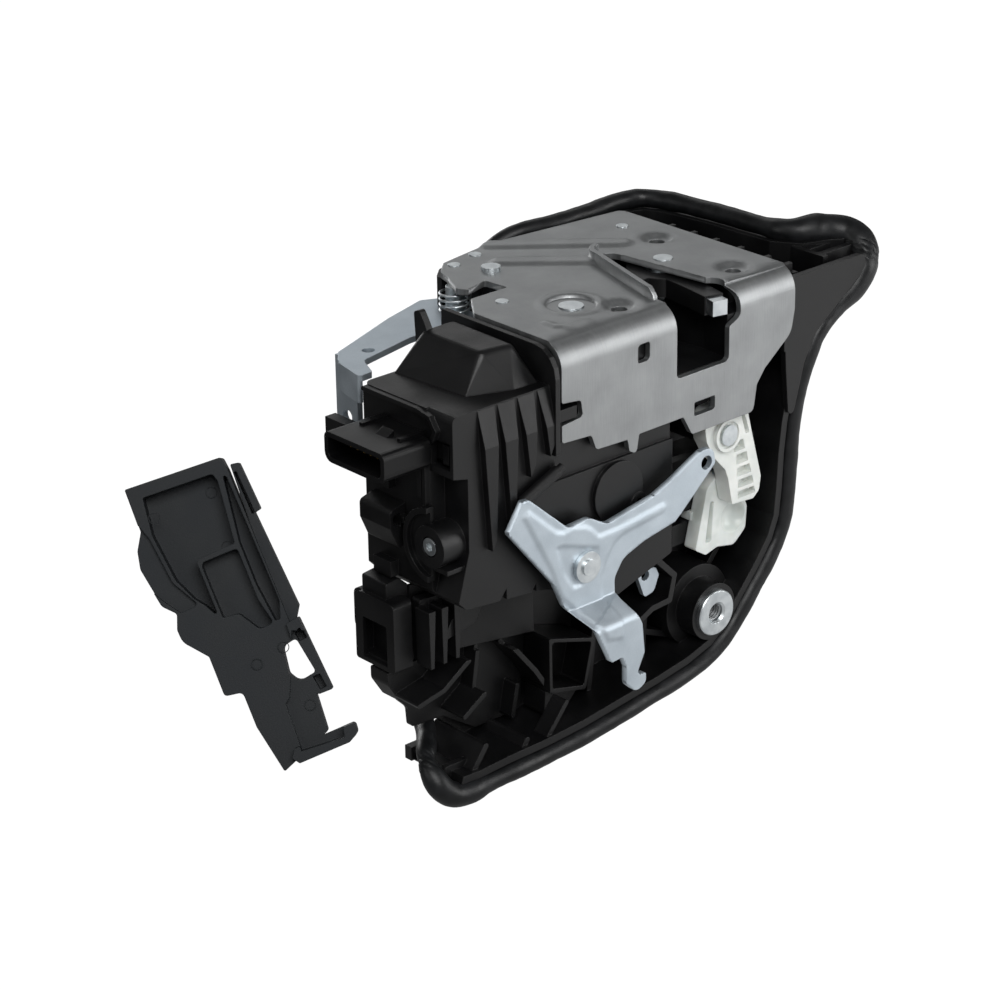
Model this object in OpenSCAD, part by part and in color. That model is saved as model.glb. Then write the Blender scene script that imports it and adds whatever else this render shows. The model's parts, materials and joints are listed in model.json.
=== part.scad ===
// Rotary-claw car door lock module: steel face plate, claw and pawl, power lock
// actuator, plastic carrier with a foam seal, levers and a cover that clips on.
// The origin is the outer corner line of the face plate below the striker slot.

/* [Face plate] */
// Thickness of the steel sheet
plate_t = 2; // [1.6:0.1:2.4]
// Reach of the plate to the left of the slot
plate_left = 59; // [57:0.5:62]
// Reach of the plate to the right of the slot
plate_right = 40.5; // [39:0.5:46]
// Depth of the plate at its right edge
plate_depth = 78; // [74:0.5:82]
// Outer radius of the bend
bend_r = 8; // [6:0.5:9]
// Height of the bent-down flange
flange_drop = 43.5; // [40:0.5:48]
// Tapping radius of the three M6 screw holes
screw_r = 2.5; // [2:0.1:3]
// Radius of the dimple around each screw hole
dimple_r = 6.3; // [5:0.1:7]
// Length of the extruded collar that carries each thread
collar_len = 6; // [4:0.5:8]

/* [Striker slot] */
// Centre of the slot's closed end, across
slot_x = 4.5; // [3:0.5:6]
// Centre of the slot's closed end, inwards
slot_y = 46; // [44:0.5:49]
// Radius of the slot's closed end
slot_r = 4.8; // [4.5:0.1:5.5]
// Half width of the opening in the flange
mouth_half = 11.3; // [10:0.1:12.5]
// Depth of the opening below the plate
mouth_drop = 23.5; // [20:0.5:25]
// Height of the lip beside the slot
lip_h = 3.5; // [2:0.1:5]

/* [Claw and pawl] */
// Claw pivot, across
claw_x = 16.6; // [16:0.1:17.2]
// Claw pivot, inwards
claw_y = 34.5; // [34:0.1:35]
// Thickness of the claw and of the pawl
claw_t = 5; // [4:0.1:5.5]
// Reach of the claw's catch arm
claw_reach = 34; // [32:0.1:35]
// Pawl pivot, across
pawl_x = -32.7; // [-33.2:0.1:-32.2]
// Pawl pivot, inwards
pawl_y = 24; // [23.5:0.1:24.5]
// Reach of the pawl's nose
pawl_reach = 19; // [18:0.1:20]
// Radius of the two pivot pins
pin_r = 4; // [3:0.1:4.5]
// Radial play of a lever on its pin
running_gap = 0.06; // [0.03:0.01:0.09]
// Height of the latch housing under the plate
latch_h = 12; // [11.5:0.1:14]
// Thickness of the steel back plate
back_t = 2; // [1.5:0.1:3]

/* [Actuator] */
// Left face of the actuator housing
act_left = 100; // [97:0.5:103]
// Right end of the actuator housing
act_right = -11; // [-14:0.5:-8]
// Front face of the actuator housing
act_front = 2; // [1.5:0.1:3]
// Rear face of the actuator housing
act_back = 42; // [40:0.5:44]
// Level of the shoulder around the roof
act_top = -12; // [-14:0.5:-11]
// Lower edge of the actuator housing
act_bottom = -76; // [-80:0.5:-75]
// Wall of the plastic shells
wall = 2.2; // [1.6:0.1:2.8]
// Place of the seam between the two shells
seam_y = 14.5; // [12:0.5:17]
// Height of the sloping roof
roof_h = 11.5; // [9:0.5:12]
// Radius of the motor
motor_r = 8.5; // [7:0.1:9]
// Length of the motor
motor_len = 30; // [26:0.5:32]
// Teeth of the worm wheel
wheel_teeth = 24; // [20:1:26]
// Module of the worm gear
gear_m = 1; // [0.9:0.01:1.05]

/* [Connector] */
// Width of the connector shroud
conn_w = 27; // [24:0.5:30]
// Height of the connector shroud
conn_h = 9.5; // [8:0.5:12]
// Length of the connector shroud
conn_len = 20; // [15:0.5:25]
// Number of contacts in a row
conn_pins = 6; // [2:1:7]

/* [Carrier and seal] */
// Radius of the foam seal
seal_r = 3.2; // [2.8:0.1:3.6]
// Gap between the seal and the carrier
seal_gap = 0.5; // [0.4:0.05:0.7]
// Front plane of the seal's centre line
seal_front = 8; // [7.5:0.5:9]
// Rear face of the carrier
carrier_back = 31; // [30:0.5:34]
// Radius of the threaded insert's collar
insert_r = 7.7; // [7:0.1:8.5]
// Front face of the threaded insert
insert_face = 5; // [4:0.5:6]
// Length of the threaded insert
insert_len = 18; // [14:0.5:22]

/* [Levers] */
// Thickness of the steel levers
lever_t = 2; // [1.5:0.1:2.2]
// Gap between the release lever and the actuator
lever_gap = 4; // [3:0.1:5]
// Step of the release lever towards the front
lever_step = 8; // [6:0.5:9]
// Radius of the levers' rivet washers
washer_r = 5; // [4.5:0.1:5.5]
// Front face of the white lock lever
lock_face = 5; // [4.5:0.1:6]
// Thickness of the white lock lever
lock_t = 6; // [5:0.1:6.5]

/* [Loose cover] */
// Width of the loose cover
cover_w = 31; // [28:0.5:34]
// Depth of the loose cover
cover_d = 9; // [7:0.5:12]
// Wall of the loose cover
cover_wall = 1.8; // [1.4:0.1:2.2]

/* [Hidden] */
$fn = 48;

eps = 0.01;

// Unit vector and turned vector in the plane
function unit(v) = v / norm(v);
function turn(v, a) = [v[0] * cos(a) - v[1] * sin(a), v[0] * sin(a) + v[1] * cos(a)];
function flat(p) = [p[0], p[1]];

// Points of the arc that rounds the corner b between a and c
function corner(a, b, c, r, n) =
  let (u = unit(a - b), v = unit(c - b),
       half = acos(max(-1, min(1, u * v))) / 2,
       reach = min(r / tan(half), 0.49 * norm(a - b), 0.49 * norm(c - b)),
       rr = reach * tan(half),
       mid = b + unit(u + v) * (rr / sin(half)),
       s = b + u * reach - mid,
       e = b + v * reach - mid,
       side = (s[0] * e[1] - s[1] * e[0]) > 0 ? 1 : -1,
       sweep = side * acos(max(-1, min(1, (s * e) / (norm(s) * norm(e))))))
  half > 89 ? [b] : [for (i = [0:n]) mid + turn(s, sweep * i / n)];

// An outline of [x, y, radius] points with its corners rounded
function outline(p, n = 4) =
  let (k = len(p))
  [for (i = [0:k - 1])
    let (b = p[i], a = p[(i + k - 1) % k], c = p[(i + 1) % k])
    each (len(b) > 2 && b[2] > 0 ? corner(flat(a), flat(b), flat(c), b[2], n) : [flat(b)])];

// Prisms along the three axes, and round bars along them
module prism_z(p, z0, z1) translate([0, 0, z0]) linear_extrude(z1 - z0) polygon(outline(p));
module prism_y(p, y0, y1)
  translate([0, y1, 0]) rotate([90, 0, 0]) linear_extrude(y1 - y0) polygon(outline(p));
module prism_x(p, x0, x1)
  translate([x0, 0, 0]) rotate([90, 0, 90]) linear_extrude(x1 - x0) polygon(outline(p));
module bar_z(x, y, r, z0, z1) translate([x, y, z0]) cylinder(r = r, h = z1 - z0);
module bar_y(x, z, r, y0, y1) translate([x, y1, z]) rotate([90, 0, 0]) cylinder(r = r, h = y1 - y0);
module bar_x(y, z, r, x0, x1) translate([x0, y, z]) rotate([0, 90, 0]) cylinder(r = r, h = x1 - x0);
module block(x, y, z) translate([x[0], y[0], z[0]]) cube([x[1] - x[0], y[1] - y[0], z[1] - z[0]]);

// A flat arm with round ends, from a to b
module arm(a, b, w) {
  v = unit(b - a) * w;
  s = [-v[1], v[0]];
  polygon(outline([for (q = [a - v - s, b + v - s, b + v + s, a - v + s]) [q[0], q[1], w]], 3));
}

// A tube swept along a list of points, with the given number of sides
function frame_at(p, i, closed, ref) =
  let (k = len(p),
       a = closed ? p[(i + k - 1) % k] : p[max(0, i - 1)],
       b = closed ? p[(i + 1) % k] : p[min(k - 1, i + 1)],
       t = (b - a) / norm(b - a),
       u = cross(t, ref) / norm(cross(t, ref)),
       v = cross(u, t))
  [u, v];
module tube(p, r, sides, closed = false, ref = [0, 0, 1]) {
  k = len(p);
  pts = [for (i = [0:k - 1]) let (f = frame_at(p, i, closed, ref))
    for (j = [0:sides - 1]) p[i] + r * (cos(360 * j / sides) * f[0] + sin(360 * j / sides) * f[1])];
  rings = closed ? k : k - 1;
  skin = [for (i = [0:rings - 1]) for (j = [0:sides - 1])
    let (a = i * sides + j, b = i * sides + (j + 1) % sides,
         c = ((i + 1) % k) * sides + (j + 1) % sides, d = ((i + 1) % k) * sides + j)
    each [[a, b, c], [a, c, d]]];
  ends = closed ? [] : [[for (j = [sides - 1:-1:0]) j], [for (j = [0:sides - 1]) (k - 1) * sides + j]];
  polyhedron(pts, concat(skin, ends), convexity = 6);
}

// Points of a coil of wire about the z axis
function coil(r, pitch, turns, steps) =
  [for (i = [0:turns * steps]) [r * cos(360 * i / steps), r * sin(360 * i / steps), pitch * i / steps]];

// A smooth closed curve through hand-chosen points
function blend4(a, b, c, d, t) =
  0.5 * ((2 * b) + (c - a) * t + (2 * a - 5 * b + 4 * c - d) * t * t + (3 * b - a - 3 * c + d) * t * t * t);
function smooth_loop(p, n) =
  let (k = len(p))
  [for (i = [0:k - 1]) for (s = [0:n - 1])
    blend4(p[(i + k - 1) % k], p[i], p[(i + 1) % k], p[(i + 2) % k], s / n)];

// Levels of the latch
claw_top = -plate_t - 1.4;
claw_low = claw_top - claw_t;
pocket_low = claw_low - 1;
housing_low = -plate_t - latch_h;
back_low = housing_low - back_t;
channel_low = -mouth_drop;
claw_at = [claw_x, claw_y];
pawl_at = [pawl_x, pawl_y];
catch_angle = -103.6;
inner_angle = 186;
pawl_angle = -23.3;
claw_hub = 10.5;
catch_w = 2.6;
jacket_t = 1.1;
bare_tip = 3.7;
inner_reach = 21;
outer_pin_at = [-43.5, 65];
screw_at = [[29.5, 50.3], [26.9, 14], [-22.3, 13.9]];
small_rivets = [[-46.2, 40.2], [29.1, 65.9], [-23.5, plate_depth + 0.2], [-34.8, plate_depth - 2.7]];
post_at = [-29.6, 63.8];

// Outline of the flat top of the face plate
top_edge = [
  [-plate_left, bend_r, 0], [plate_right, bend_r, 0], [plate_right, plate_depth, 3],
  [9, plate_depth + 3, 2], [-13, plate_depth + 5.2, 6], [-30, plate_depth + 2.2, 3],
  [-36, plate_depth + 1, 2], [-42, 73.5, 2], [-43.5, 68.5, 1], [-48.5, 58.5, 1.5],
  [-46.5, 55.5, 0.8], [-37.3, 58, 0.8], [-36.5, 48.5, 0.8], [-51.5, 48.5, 1.5],
  [-plate_left, 38.5, 2]];

// Outline of the flange
flange_edge = [
  [-plate_left, -bend_r, 0], [-plate_left, -18.3, 0.8], [-51.3, -19.2, 1.2], [-50.4, -24.6, 1.2],
  [-plate_left, -25.4, 0.8], [-plate_left, -31, 1], [-47, -31.7, 1.5], [-45, -36.9, 1.5],
  [-32, -37.4, 0.8], [-31.2, -41.5, 1], [-28.3, -42.9, 1], [-27.2, -36.9, 0.6],
  [-8.3, -36.8, 1.2], [-4.5, -flange_drop, 1.5], [22.5, -flange_drop, 2], [24, -34.7, 2],
  [27.5, -30.2, 3], [plate_right - 1.5, -21.5, 6], [plate_right, -14, 4], [plate_right, -bend_r, 0]];

module slot_cut() {
  prism_z([[slot_x + slot_r, slot_y, 0], [13.4, 13, 0.5], [13.2, 9.5, 1.5], [9.5, 7.5, 1.5],
           [9.2, bend_r - eps, 0], [-mouth_half, bend_r - eps, 0], [-mouth_half + 1.3, 14, 2],
           [slot_x - slot_r, slot_y, 0]], -plate_t - 2, lip_h + 2);
  bar_z(slot_x, slot_y, slot_r, -plate_t - 2, lip_h + 2);
  prism_y([[-mouth_half, 5, 0], [-mouth_half, channel_low, 1.5], [mouth_half, channel_low, 1.8],
           [mouth_half, -12.3, 1.5], [16.2, -10, 2.5], [16.2, -3, 5], [10, 2.6, 0], [10, 5, 0]],
          -1, bend_r + eps);
  bar_z(16.2 - 5, bend_r + 0.5, 4.6, -plate_t - 2, 2);
}

module slot_lip() {
  difference() {
    union() {
      prism_z([[-mouth_half + 0.6, 8.8, 0], [-mouth_half + 1.3, 14, 2], [slot_x - slot_r, slot_y, 0],
               [slot_x - slot_r - lip_t, slot_y, 3], [-mouth_half + 1.3 - lip_t, 14, 2],
               [-mouth_half + 0.3 - lip_t, 8.8, 1]], -eps, lip_h);
      intersection() {
        bar_z(slot_x, slot_y, slot_r + lip_t, -eps, lip_h);
        prism_z([[slot_x, slot_y, 0], [-10, slot_y - 2, 0], [-10, 60, 0], [slot_x - 1, 60, 0]], -1, 9);
      }
    }
    bar_z(slot_x, slot_y, slot_r, -1, 9);
    // The lip's front end is cut at a slant
    prism_x([[8.5, lip_h + 1, 0], [8.5, 0.8, 0], [13, lip_h + 1, 0]], -30, 0);
  }
}
lip_t = 1.7;

collar_wall = 1.1;
module screw_collar(at) {
  translate([at[0], at[1], -plate_t - collar_len + 1]) cylinder(r = screw_r + collar_wall, h = collar_len);
}

module screw_hole(at) {
  bar_z(at[0], at[1], screw_r, -plate_t - collar_len - 1, 1);
  translate([at[0], at[1], -1.7]) cylinder(r1 = screw_r + 0.5, r2 = dimple_r, h = 1.7 + eps);
}

module face_plate() color("#9a9a98") difference() {
  union() {
    prism_z(top_edge, -plate_t, 0);
    intersection() {
      difference() {
        bar_x(bend_r, -bend_r, bend_r, -plate_left, plate_right);
        bar_x(bend_r, -bend_r, bend_r - plate_t, -plate_left - 1, plate_right + 1);
      }
      block([-plate_left, plate_right], [0, bend_r], [-bend_r, 0]);
    }
    prism_y(flange_edge, 0, plate_t);
    for (at = screw_at) screw_collar(at);
    slot_lip();
    // Pressed beads that stiffen the sheet
    translate([0, 0, -eps]) linear_extrude(0.5) {
      arm([-19, 64], [0, 47], 2.2);
      arm([-12, 79], [16, 55], 2.2);
      arm([-49, 12], [-27, 7.8 + 3], 1);
      difference() {
        translate(pawl_at) circle(r = 14.5);
        translate(pawl_at) circle(r = 12.5);
        translate(pawl_at) rotate(-10) square([40, 60]);
        translate(pawl_at + [0, -30]) square([40, 60]);
      }
    }
  }
  slot_cut();
  for (at = screw_at) screw_hole(at);
  for (at = small_rivets) bar_z(at[0], at[1], rivet_r, -plate_t - 1, 1);
  bar_z(post_at[0], post_at[1], post_r, -plate_t - 1, 1);
  bar_z(claw_x, claw_y, rivet_neck, -plate_t - 1, 1);
  bar_z(pawl_x, pawl_y, rivet_neck + 0.8, -plate_t - 1, 1);
  // Dish around the pawl's rivet
  translate([pawl_x, pawl_y, -0.8]) cylinder(r1 = 7.4, r2 = 8.4, h = 0.8 + 1);
  translate([-40, 32, -0.5]) linear_extrude(2) arm([0, 0], [5, 3], 0.5);
  // Windows in the flange
  prism_y([[-27.8, -8.2, 1.2], [-22.8, -8, 1], [-22.8, -14, 1.4], [-27.8, -14.1, 0.8]], -1, bend_r + 1);
  prism_y([[-3.6, -33.2, 0.6], [5.4, -33.2, 0.6], [5.4, -37.8, 1], [-3.6, -37.8, 0.6]], -1, plate_t + 1);
}

rivet_r = 2;
post_r = 2;
rivet_neck = 3.1;

// Riveted posts of the latch housing
module plate_rivets() color("#c4c6c8") {
  for (at = small_rivets) {
    bar_z(at[0], at[1], rivet_r, -plate_t - 6, 0.3);
  }
  difference() {
    union() {
      bar_z(post_at[0], post_at[1], post_r, -plate_t - 6, 0.1);
      bar_z(post_at[0], post_at[1], 3.1, 0, 1.4);
    }
    for (i = [0:11]) rotate_at(post_at, i * 30) translate([3.3, 0, 0.7]) cube([0.8, 0.5, 2], center = true);
  }
}
module rotate_at(at, a) translate([at[0], at[1], 0]) rotate(a) children();

// Outline of the latch housing, a little inside the plate
housing_edge = [
  [-plate_left + 1.5, plate_t + 0.3, 1], [plate_right - 1.5, plate_t + 0.3, 1],
  [plate_right - 1.5, plate_depth - 1, 2], [9, plate_depth + 1.8, 2], [-13, plate_depth + 6.4, 5],
  [-30, plate_depth + 3.4, 2], [-37, plate_depth + 2, 2], [-42.5, plate_depth - 3, 2],
  [-36, 60, 3], [-36, 47, 2], [-52.5, 46.5, 2], [-plate_left + 1.5, 38, 2]];

housing_wall = 2.2;
bend_in = bend_r - plate_t - 0.1;
outer_eye_r = 6;
module striker_path(grow) {
  translate([slot_x, slot_y]) circle(r = slot_r + grow);
  polygon([[slot_x + slot_r + grow, slot_y], [13.4 + grow, 13], [mouth_half + 1 + grow, -5],
           [-mouth_half - grow, -5], [-mouth_half + 1 - grow, 14], [slot_x - slot_r - grow, slot_y]]);
}

module latch_housing() color("#1d1d1f") difference() {
  union() {
    prism_z(housing_edge, housing_low, -plate_t);
    // Walls and floor of the striker channel
    translate([0, 0, channel_low - wall]) linear_extrude(-plate_t - channel_low + wall)
      intersection() {
        striker_path(wall);
        translate([-40, plate_t + 0.3]) square([80, 60]);
      }
  }
  // Corner that follows the inside of the bend
  prism_x([[-1, 1], [-1, -bend_r],
           for (a = [0:15:75]) [bend_r - bend_in * cos(a), -bend_r + bend_in * sin(a)],
           [bend_r + 1.5, -plate_t], [bend_r + 1.5, 1]], -plate_left - 1, plate_right + 1);
  // Room for the claw and the pawl
  translate([0, 0, pocket_low]) linear_extrude(-plate_t - pocket_low + 1) {
    difference() {
      polygon(outline(inset(housing_edge, -housing_wall)));
      for (at = [screw_at[0], screw_at[1]]) translate(at) circle(r = screw_r + 2.2 + housing_wall);
      for (at = concat(small_rivets, [post_at])) translate(at) circle(r = rivet_r + housing_wall);
      translate(outer_pin_at) circle(r = outer_eye_r + 2.6 + housing_wall);
    }
    translate([claw_x - 14, -5]) square([18, 22]);
  }
  // Room for the springs under the claw and the pawl
  bar_z(claw_x, claw_y, 8, pocket_low - 3.2, pocket_low + 1);
  bar_z(pawl_x, pawl_y, 7, pocket_low - 3.2, pocket_low + 1);
  // The striker's way in
  translate([0, 0, channel_low]) linear_extrude(-channel_low + 1) striker_path(0);
  block([slot_x - 4.5, slot_x + 4.5], [slot_y + slot_r - 1, slot_y + slot_r + bumper_t],
        [housing_low + 1, pocket_low + 0.5]);
  bar_z(claw_x, claw_y, pin_r, housing_low - 1, 0);
  bar_z(pawl_x, pawl_y, pin_r, housing_low - 1, 0);
  bar_z(claw_x, claw_y, rivet_neck + 1.5, back_low - 2, back_low + 0.1);
  for (at = screw_at) bar_z(at[0], at[1], screw_r + 2.2, -plate_t - collar_len, 0);
  for (at = concat(small_rivets, [post_at])) bar_z(at[0], at[1], rivet_r, -plate_t - 6, 0);
  bar_z(outer_pin_at[0], outer_pin_at[1], outer_eye_r + 2.6, housing_low - 1, 0);
  block([-70, -31.5], [54, 92], [housing_low - 1, housing_low + lever_t + 0.6]);
}

bumper_t = 3.5;

module slam_bumper() color("#262626")
  block([slot_x - 4.4, slot_x + 4.4], [slot_y + slot_r - 0.6, slot_y + slot_r + bumper_t - 0.1],
        [housing_low + 1.1, pocket_low - 0.2]);

module back_plate() color("#8d8f91") difference() {
  prism_z([[-50, 6, 4], [-14.5, 6, 2], [-14.5, 52, 2], [15, 52, 2], [18, 6, 2],
           [plate_right - 3, 6, 5], [plate_right - 3, 62, 8], [10, 74, 6], [-25, 74, 6], [-34, 62, 5],
           [-34, 46, 3], [-50, 40, 5]], back_low, housing_low);
  translate([0, 0, back_low - 1]) linear_extrude(back_t + 2) striker_path(wall + 0.2);
  bar_z(claw_x, claw_y, rivet_neck, back_low - 1, 0);
  bar_z(pawl_x, pawl_y, rivet_neck, back_low - 1, 0);
  bar_z(26, 62, 4, back_low - 1, 0);
  bar_z(-20, 60, 5, back_low - 1, 0);
}

module pivot_pin(at, head) {
  bar_z(at[0], at[1], pin_r, housing_low, -plate_t);
  bar_z(at[0], at[1], head, -plate_t, at == pawl_at ? -0.3 : 0.3);
  bar_z(at[0], at[1], rivet_neck, back_low, housing_low);
  bar_z(at[0], at[1], rivet_neck + 1.3, back_low - 1.2, back_low);
}
module claw_pin() color("#b9bbbd") pivot_pin(claw_at, rivet_neck);
module pawl_pin() color("#b9bbbd") pivot_pin(pawl_at, rivet_neck + 0.8);

catch_dir = [cos(catch_angle), sin(catch_angle)];
inner_dir = [cos(inner_angle), sin(inner_angle)];

module catch_arm(w, r) {
  v = catch_dir;
  s = [-v[1], v[0]];
  polygon([claw_at + s * (w + 2.5), claw_at - s * (w + 3), claw_at + v * r * 0.7 - s * (w + 0.6),
           claw_at + v * r - s * w, claw_at + v * r + s * w, claw_at + v * r * 0.7 + s * w]);
}
module claw_shape(grow) {
  translate(claw_at) circle(r = claw_hub + grow);
  arm(claw_at, claw_at + inner_dir * inner_reach, catch_w - 0.5 + grow);
}

module claw() color("#c9ccd0") difference() {
  translate([0, 0, claw_low]) linear_extrude(claw_t) {
    claw_shape(0);
    catch_arm(catch_w, claw_reach);
  }
  bar_z(claw_x, claw_y, pin_r + running_gap, claw_low - 1, claw_top + 1);
}

module claw_jacket() color("#1a1a1b") difference() {
  translate([0, 0, claw_low - 0.6]) linear_extrude(claw_t + 1.2) {
    claw_shape(jacket_t);
    catch_arm(catch_w + 0.7, claw_reach - bare_tip);
  }
  translate([0, 0, claw_low]) linear_extrude(claw_t) {
    claw_shape(0);
    catch_arm(catch_w, claw_reach);
  }
  bar_z(claw_x, claw_y, pin_r + 2.2, claw_low - 2, claw_top + 2);
}

pawl_dir = [cos(pawl_angle), sin(pawl_angle)];
module pawl() color("#a7aaad") difference() {
  translate([0, 0, claw_low]) linear_extrude(claw_t) {
    translate(pawl_at) circle(r = 7.6);
    intersection() {
      arm(pawl_at, pawl_at + pawl_dir * (pawl_reach - 1), 2.5);
      translate(pawl_at) circle(r = pawl_reach);
    }
    arm(pawl_at, pawl_at + [-11, 3], 2.6);
  }
  bar_z(pawl_x, pawl_y, pin_r + running_gap, claw_low - 1, claw_top + 1);
  // Relief beside the left screw's collar
  bar_z(screw_at[2][0], screw_at[2][1], screw_r + collar_wall + 0.4, claw_low - 1, claw_top + 1);
}

spring_wire = 0.7;
module wound_spring(at, r, z0, turns, pitch) {
  translate([at[0], at[1], z0]) tube(coil(r, pitch, turns, 20), spring_wire, 6);
}
module claw_spring() color("#8b8f94") wound_spring(claw_at, 6.2, pocket_low - 2.4, 1.2, 1.5);
module pawl_spring() color("#8b8f94") wound_spring(pawl_at, 5.6, pocket_low - 2.4, 1.2, 1.5);

module retaining_clip() color("#d0d3d6") {
  clip_top = channel_low - wall;
  prism_x([[3.4, clip_top, 0], [3.4, -35.2, 0], [5, -35.2, 0], [5, clip_top - 1.6, 0.6],
           [16, clip_top - 1.6, 0], [16, clip_top, 0]], -5, 7.5);
}

// Centre line of the foam seal: over the top, down the right, along the
// bottom, then up behind the module
seal_far = plate_depth + 9;
seal_points = [
  [-2, seal_far + 6, -6], [6, seal_far + 3, -2.5], [18, seal_far, -2], [31, seal_far + 0.3, -2],
  [43, seal_far + 1.5, -2], [52, seal_far + 1.8, -2], [58, seal_far - 1, -2], [61.5, seal_far - 7, -2],
  [63.3, seal_far - 15, -2], [65, 58, -2], [65.6, 42, -2], [66.3, 32, -2],
  [70, 26, -2], [78, 23.5, -2], [84.5, 19, -3], [85.5, 13.5, -6], [82, 9, -12],
  [76, seal_front, -18.5], [70, seal_front, -21.8], [63.5, seal_front, -25.5],
  [58.5, seal_front, -30], [54.7, seal_front, -37], [51.2, seal_front, -46],
  [49, seal_front, -56], [47.8, seal_front, -66], [47.2, seal_front, -77],
  [46, seal_front, -88], [42.5, seal_front, -96.5], [36.5, seal_front, -104.5],
  [29.5, seal_front, -112.5], [22.5, seal_front, -120.5], [13.5, seal_front, -127],
  [2, seal_front, -130.5], [-12, seal_front, -132.8], [-28, seal_front, -134.8],
  [-44, seal_front, -136.8], [-60, seal_front, -137.8], [-76, seal_front, -138],
  [-88, seal_front, -138.6], [-96.5, seal_front, -138], [-101.5, 8.5, -134.5],
  [-103.5, 11.5, -129.5], [-101, 16.5, -126], [-96, 22, -125.3], [-90.5, 29, -124.8],
  [-86, 37, -118], [-79, 44, -104], [-71, 47, -84], [-64, 48.5, -60], [-53, 56, -38],
  [-34, seal_far - 14, -27], [-16, seal_far + 1, -18], [-8, seal_far + 6, -11]];
first_top = 1;
last_top = 16;
first_front = 17;
last_front = 39;

module foam_seal() color("#2b2b2d") tube(smooth_loop(seal_points, 2), seal_r, 8, true, [1, 1, 1]);

// The seal's line moved inwards by d, in plan for the top and seen from the front below
function side_step(p, i, j, k, d) =
  let (a = [p[i - 1][j], p[i - 1][k]], b = [p[i][j], p[i][k]], c = [p[i + 1][j], p[i + 1][k]],
       t = unit(c - a))
  b + d * [t[1], -t[0]];
function top_line(d, skip = 0) = [for (i = [first_top + skip:last_top - skip]) side_step(seal_points, i,
    0, 1, d)];
function front_line(d, skip = 0) =
  [for (i = [first_front + skip:last_front - skip]) side_step(seal_points, i, 0, 2, d)];
function ledge_line(d) = [for (i = [first_top + 1:last_top - 3]) side_step(seal_points, i, 0, 1, d)];
function back_to_front(p) = [for (i = [len(p) - 1:-1:0]) p[i]];

floor_top = back_low - 1.5;
floor_low = floor_top - 2.5;
rim = seal_r + seal_gap;
insert_at = [12.8, -111.9];
lock_at = [15.7, -50.7];
front_top = -6;
face_front = 5;
tray_rib_y = [64, 54, 44, 33, 21, 12];
slide_at = [21, -81];

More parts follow.
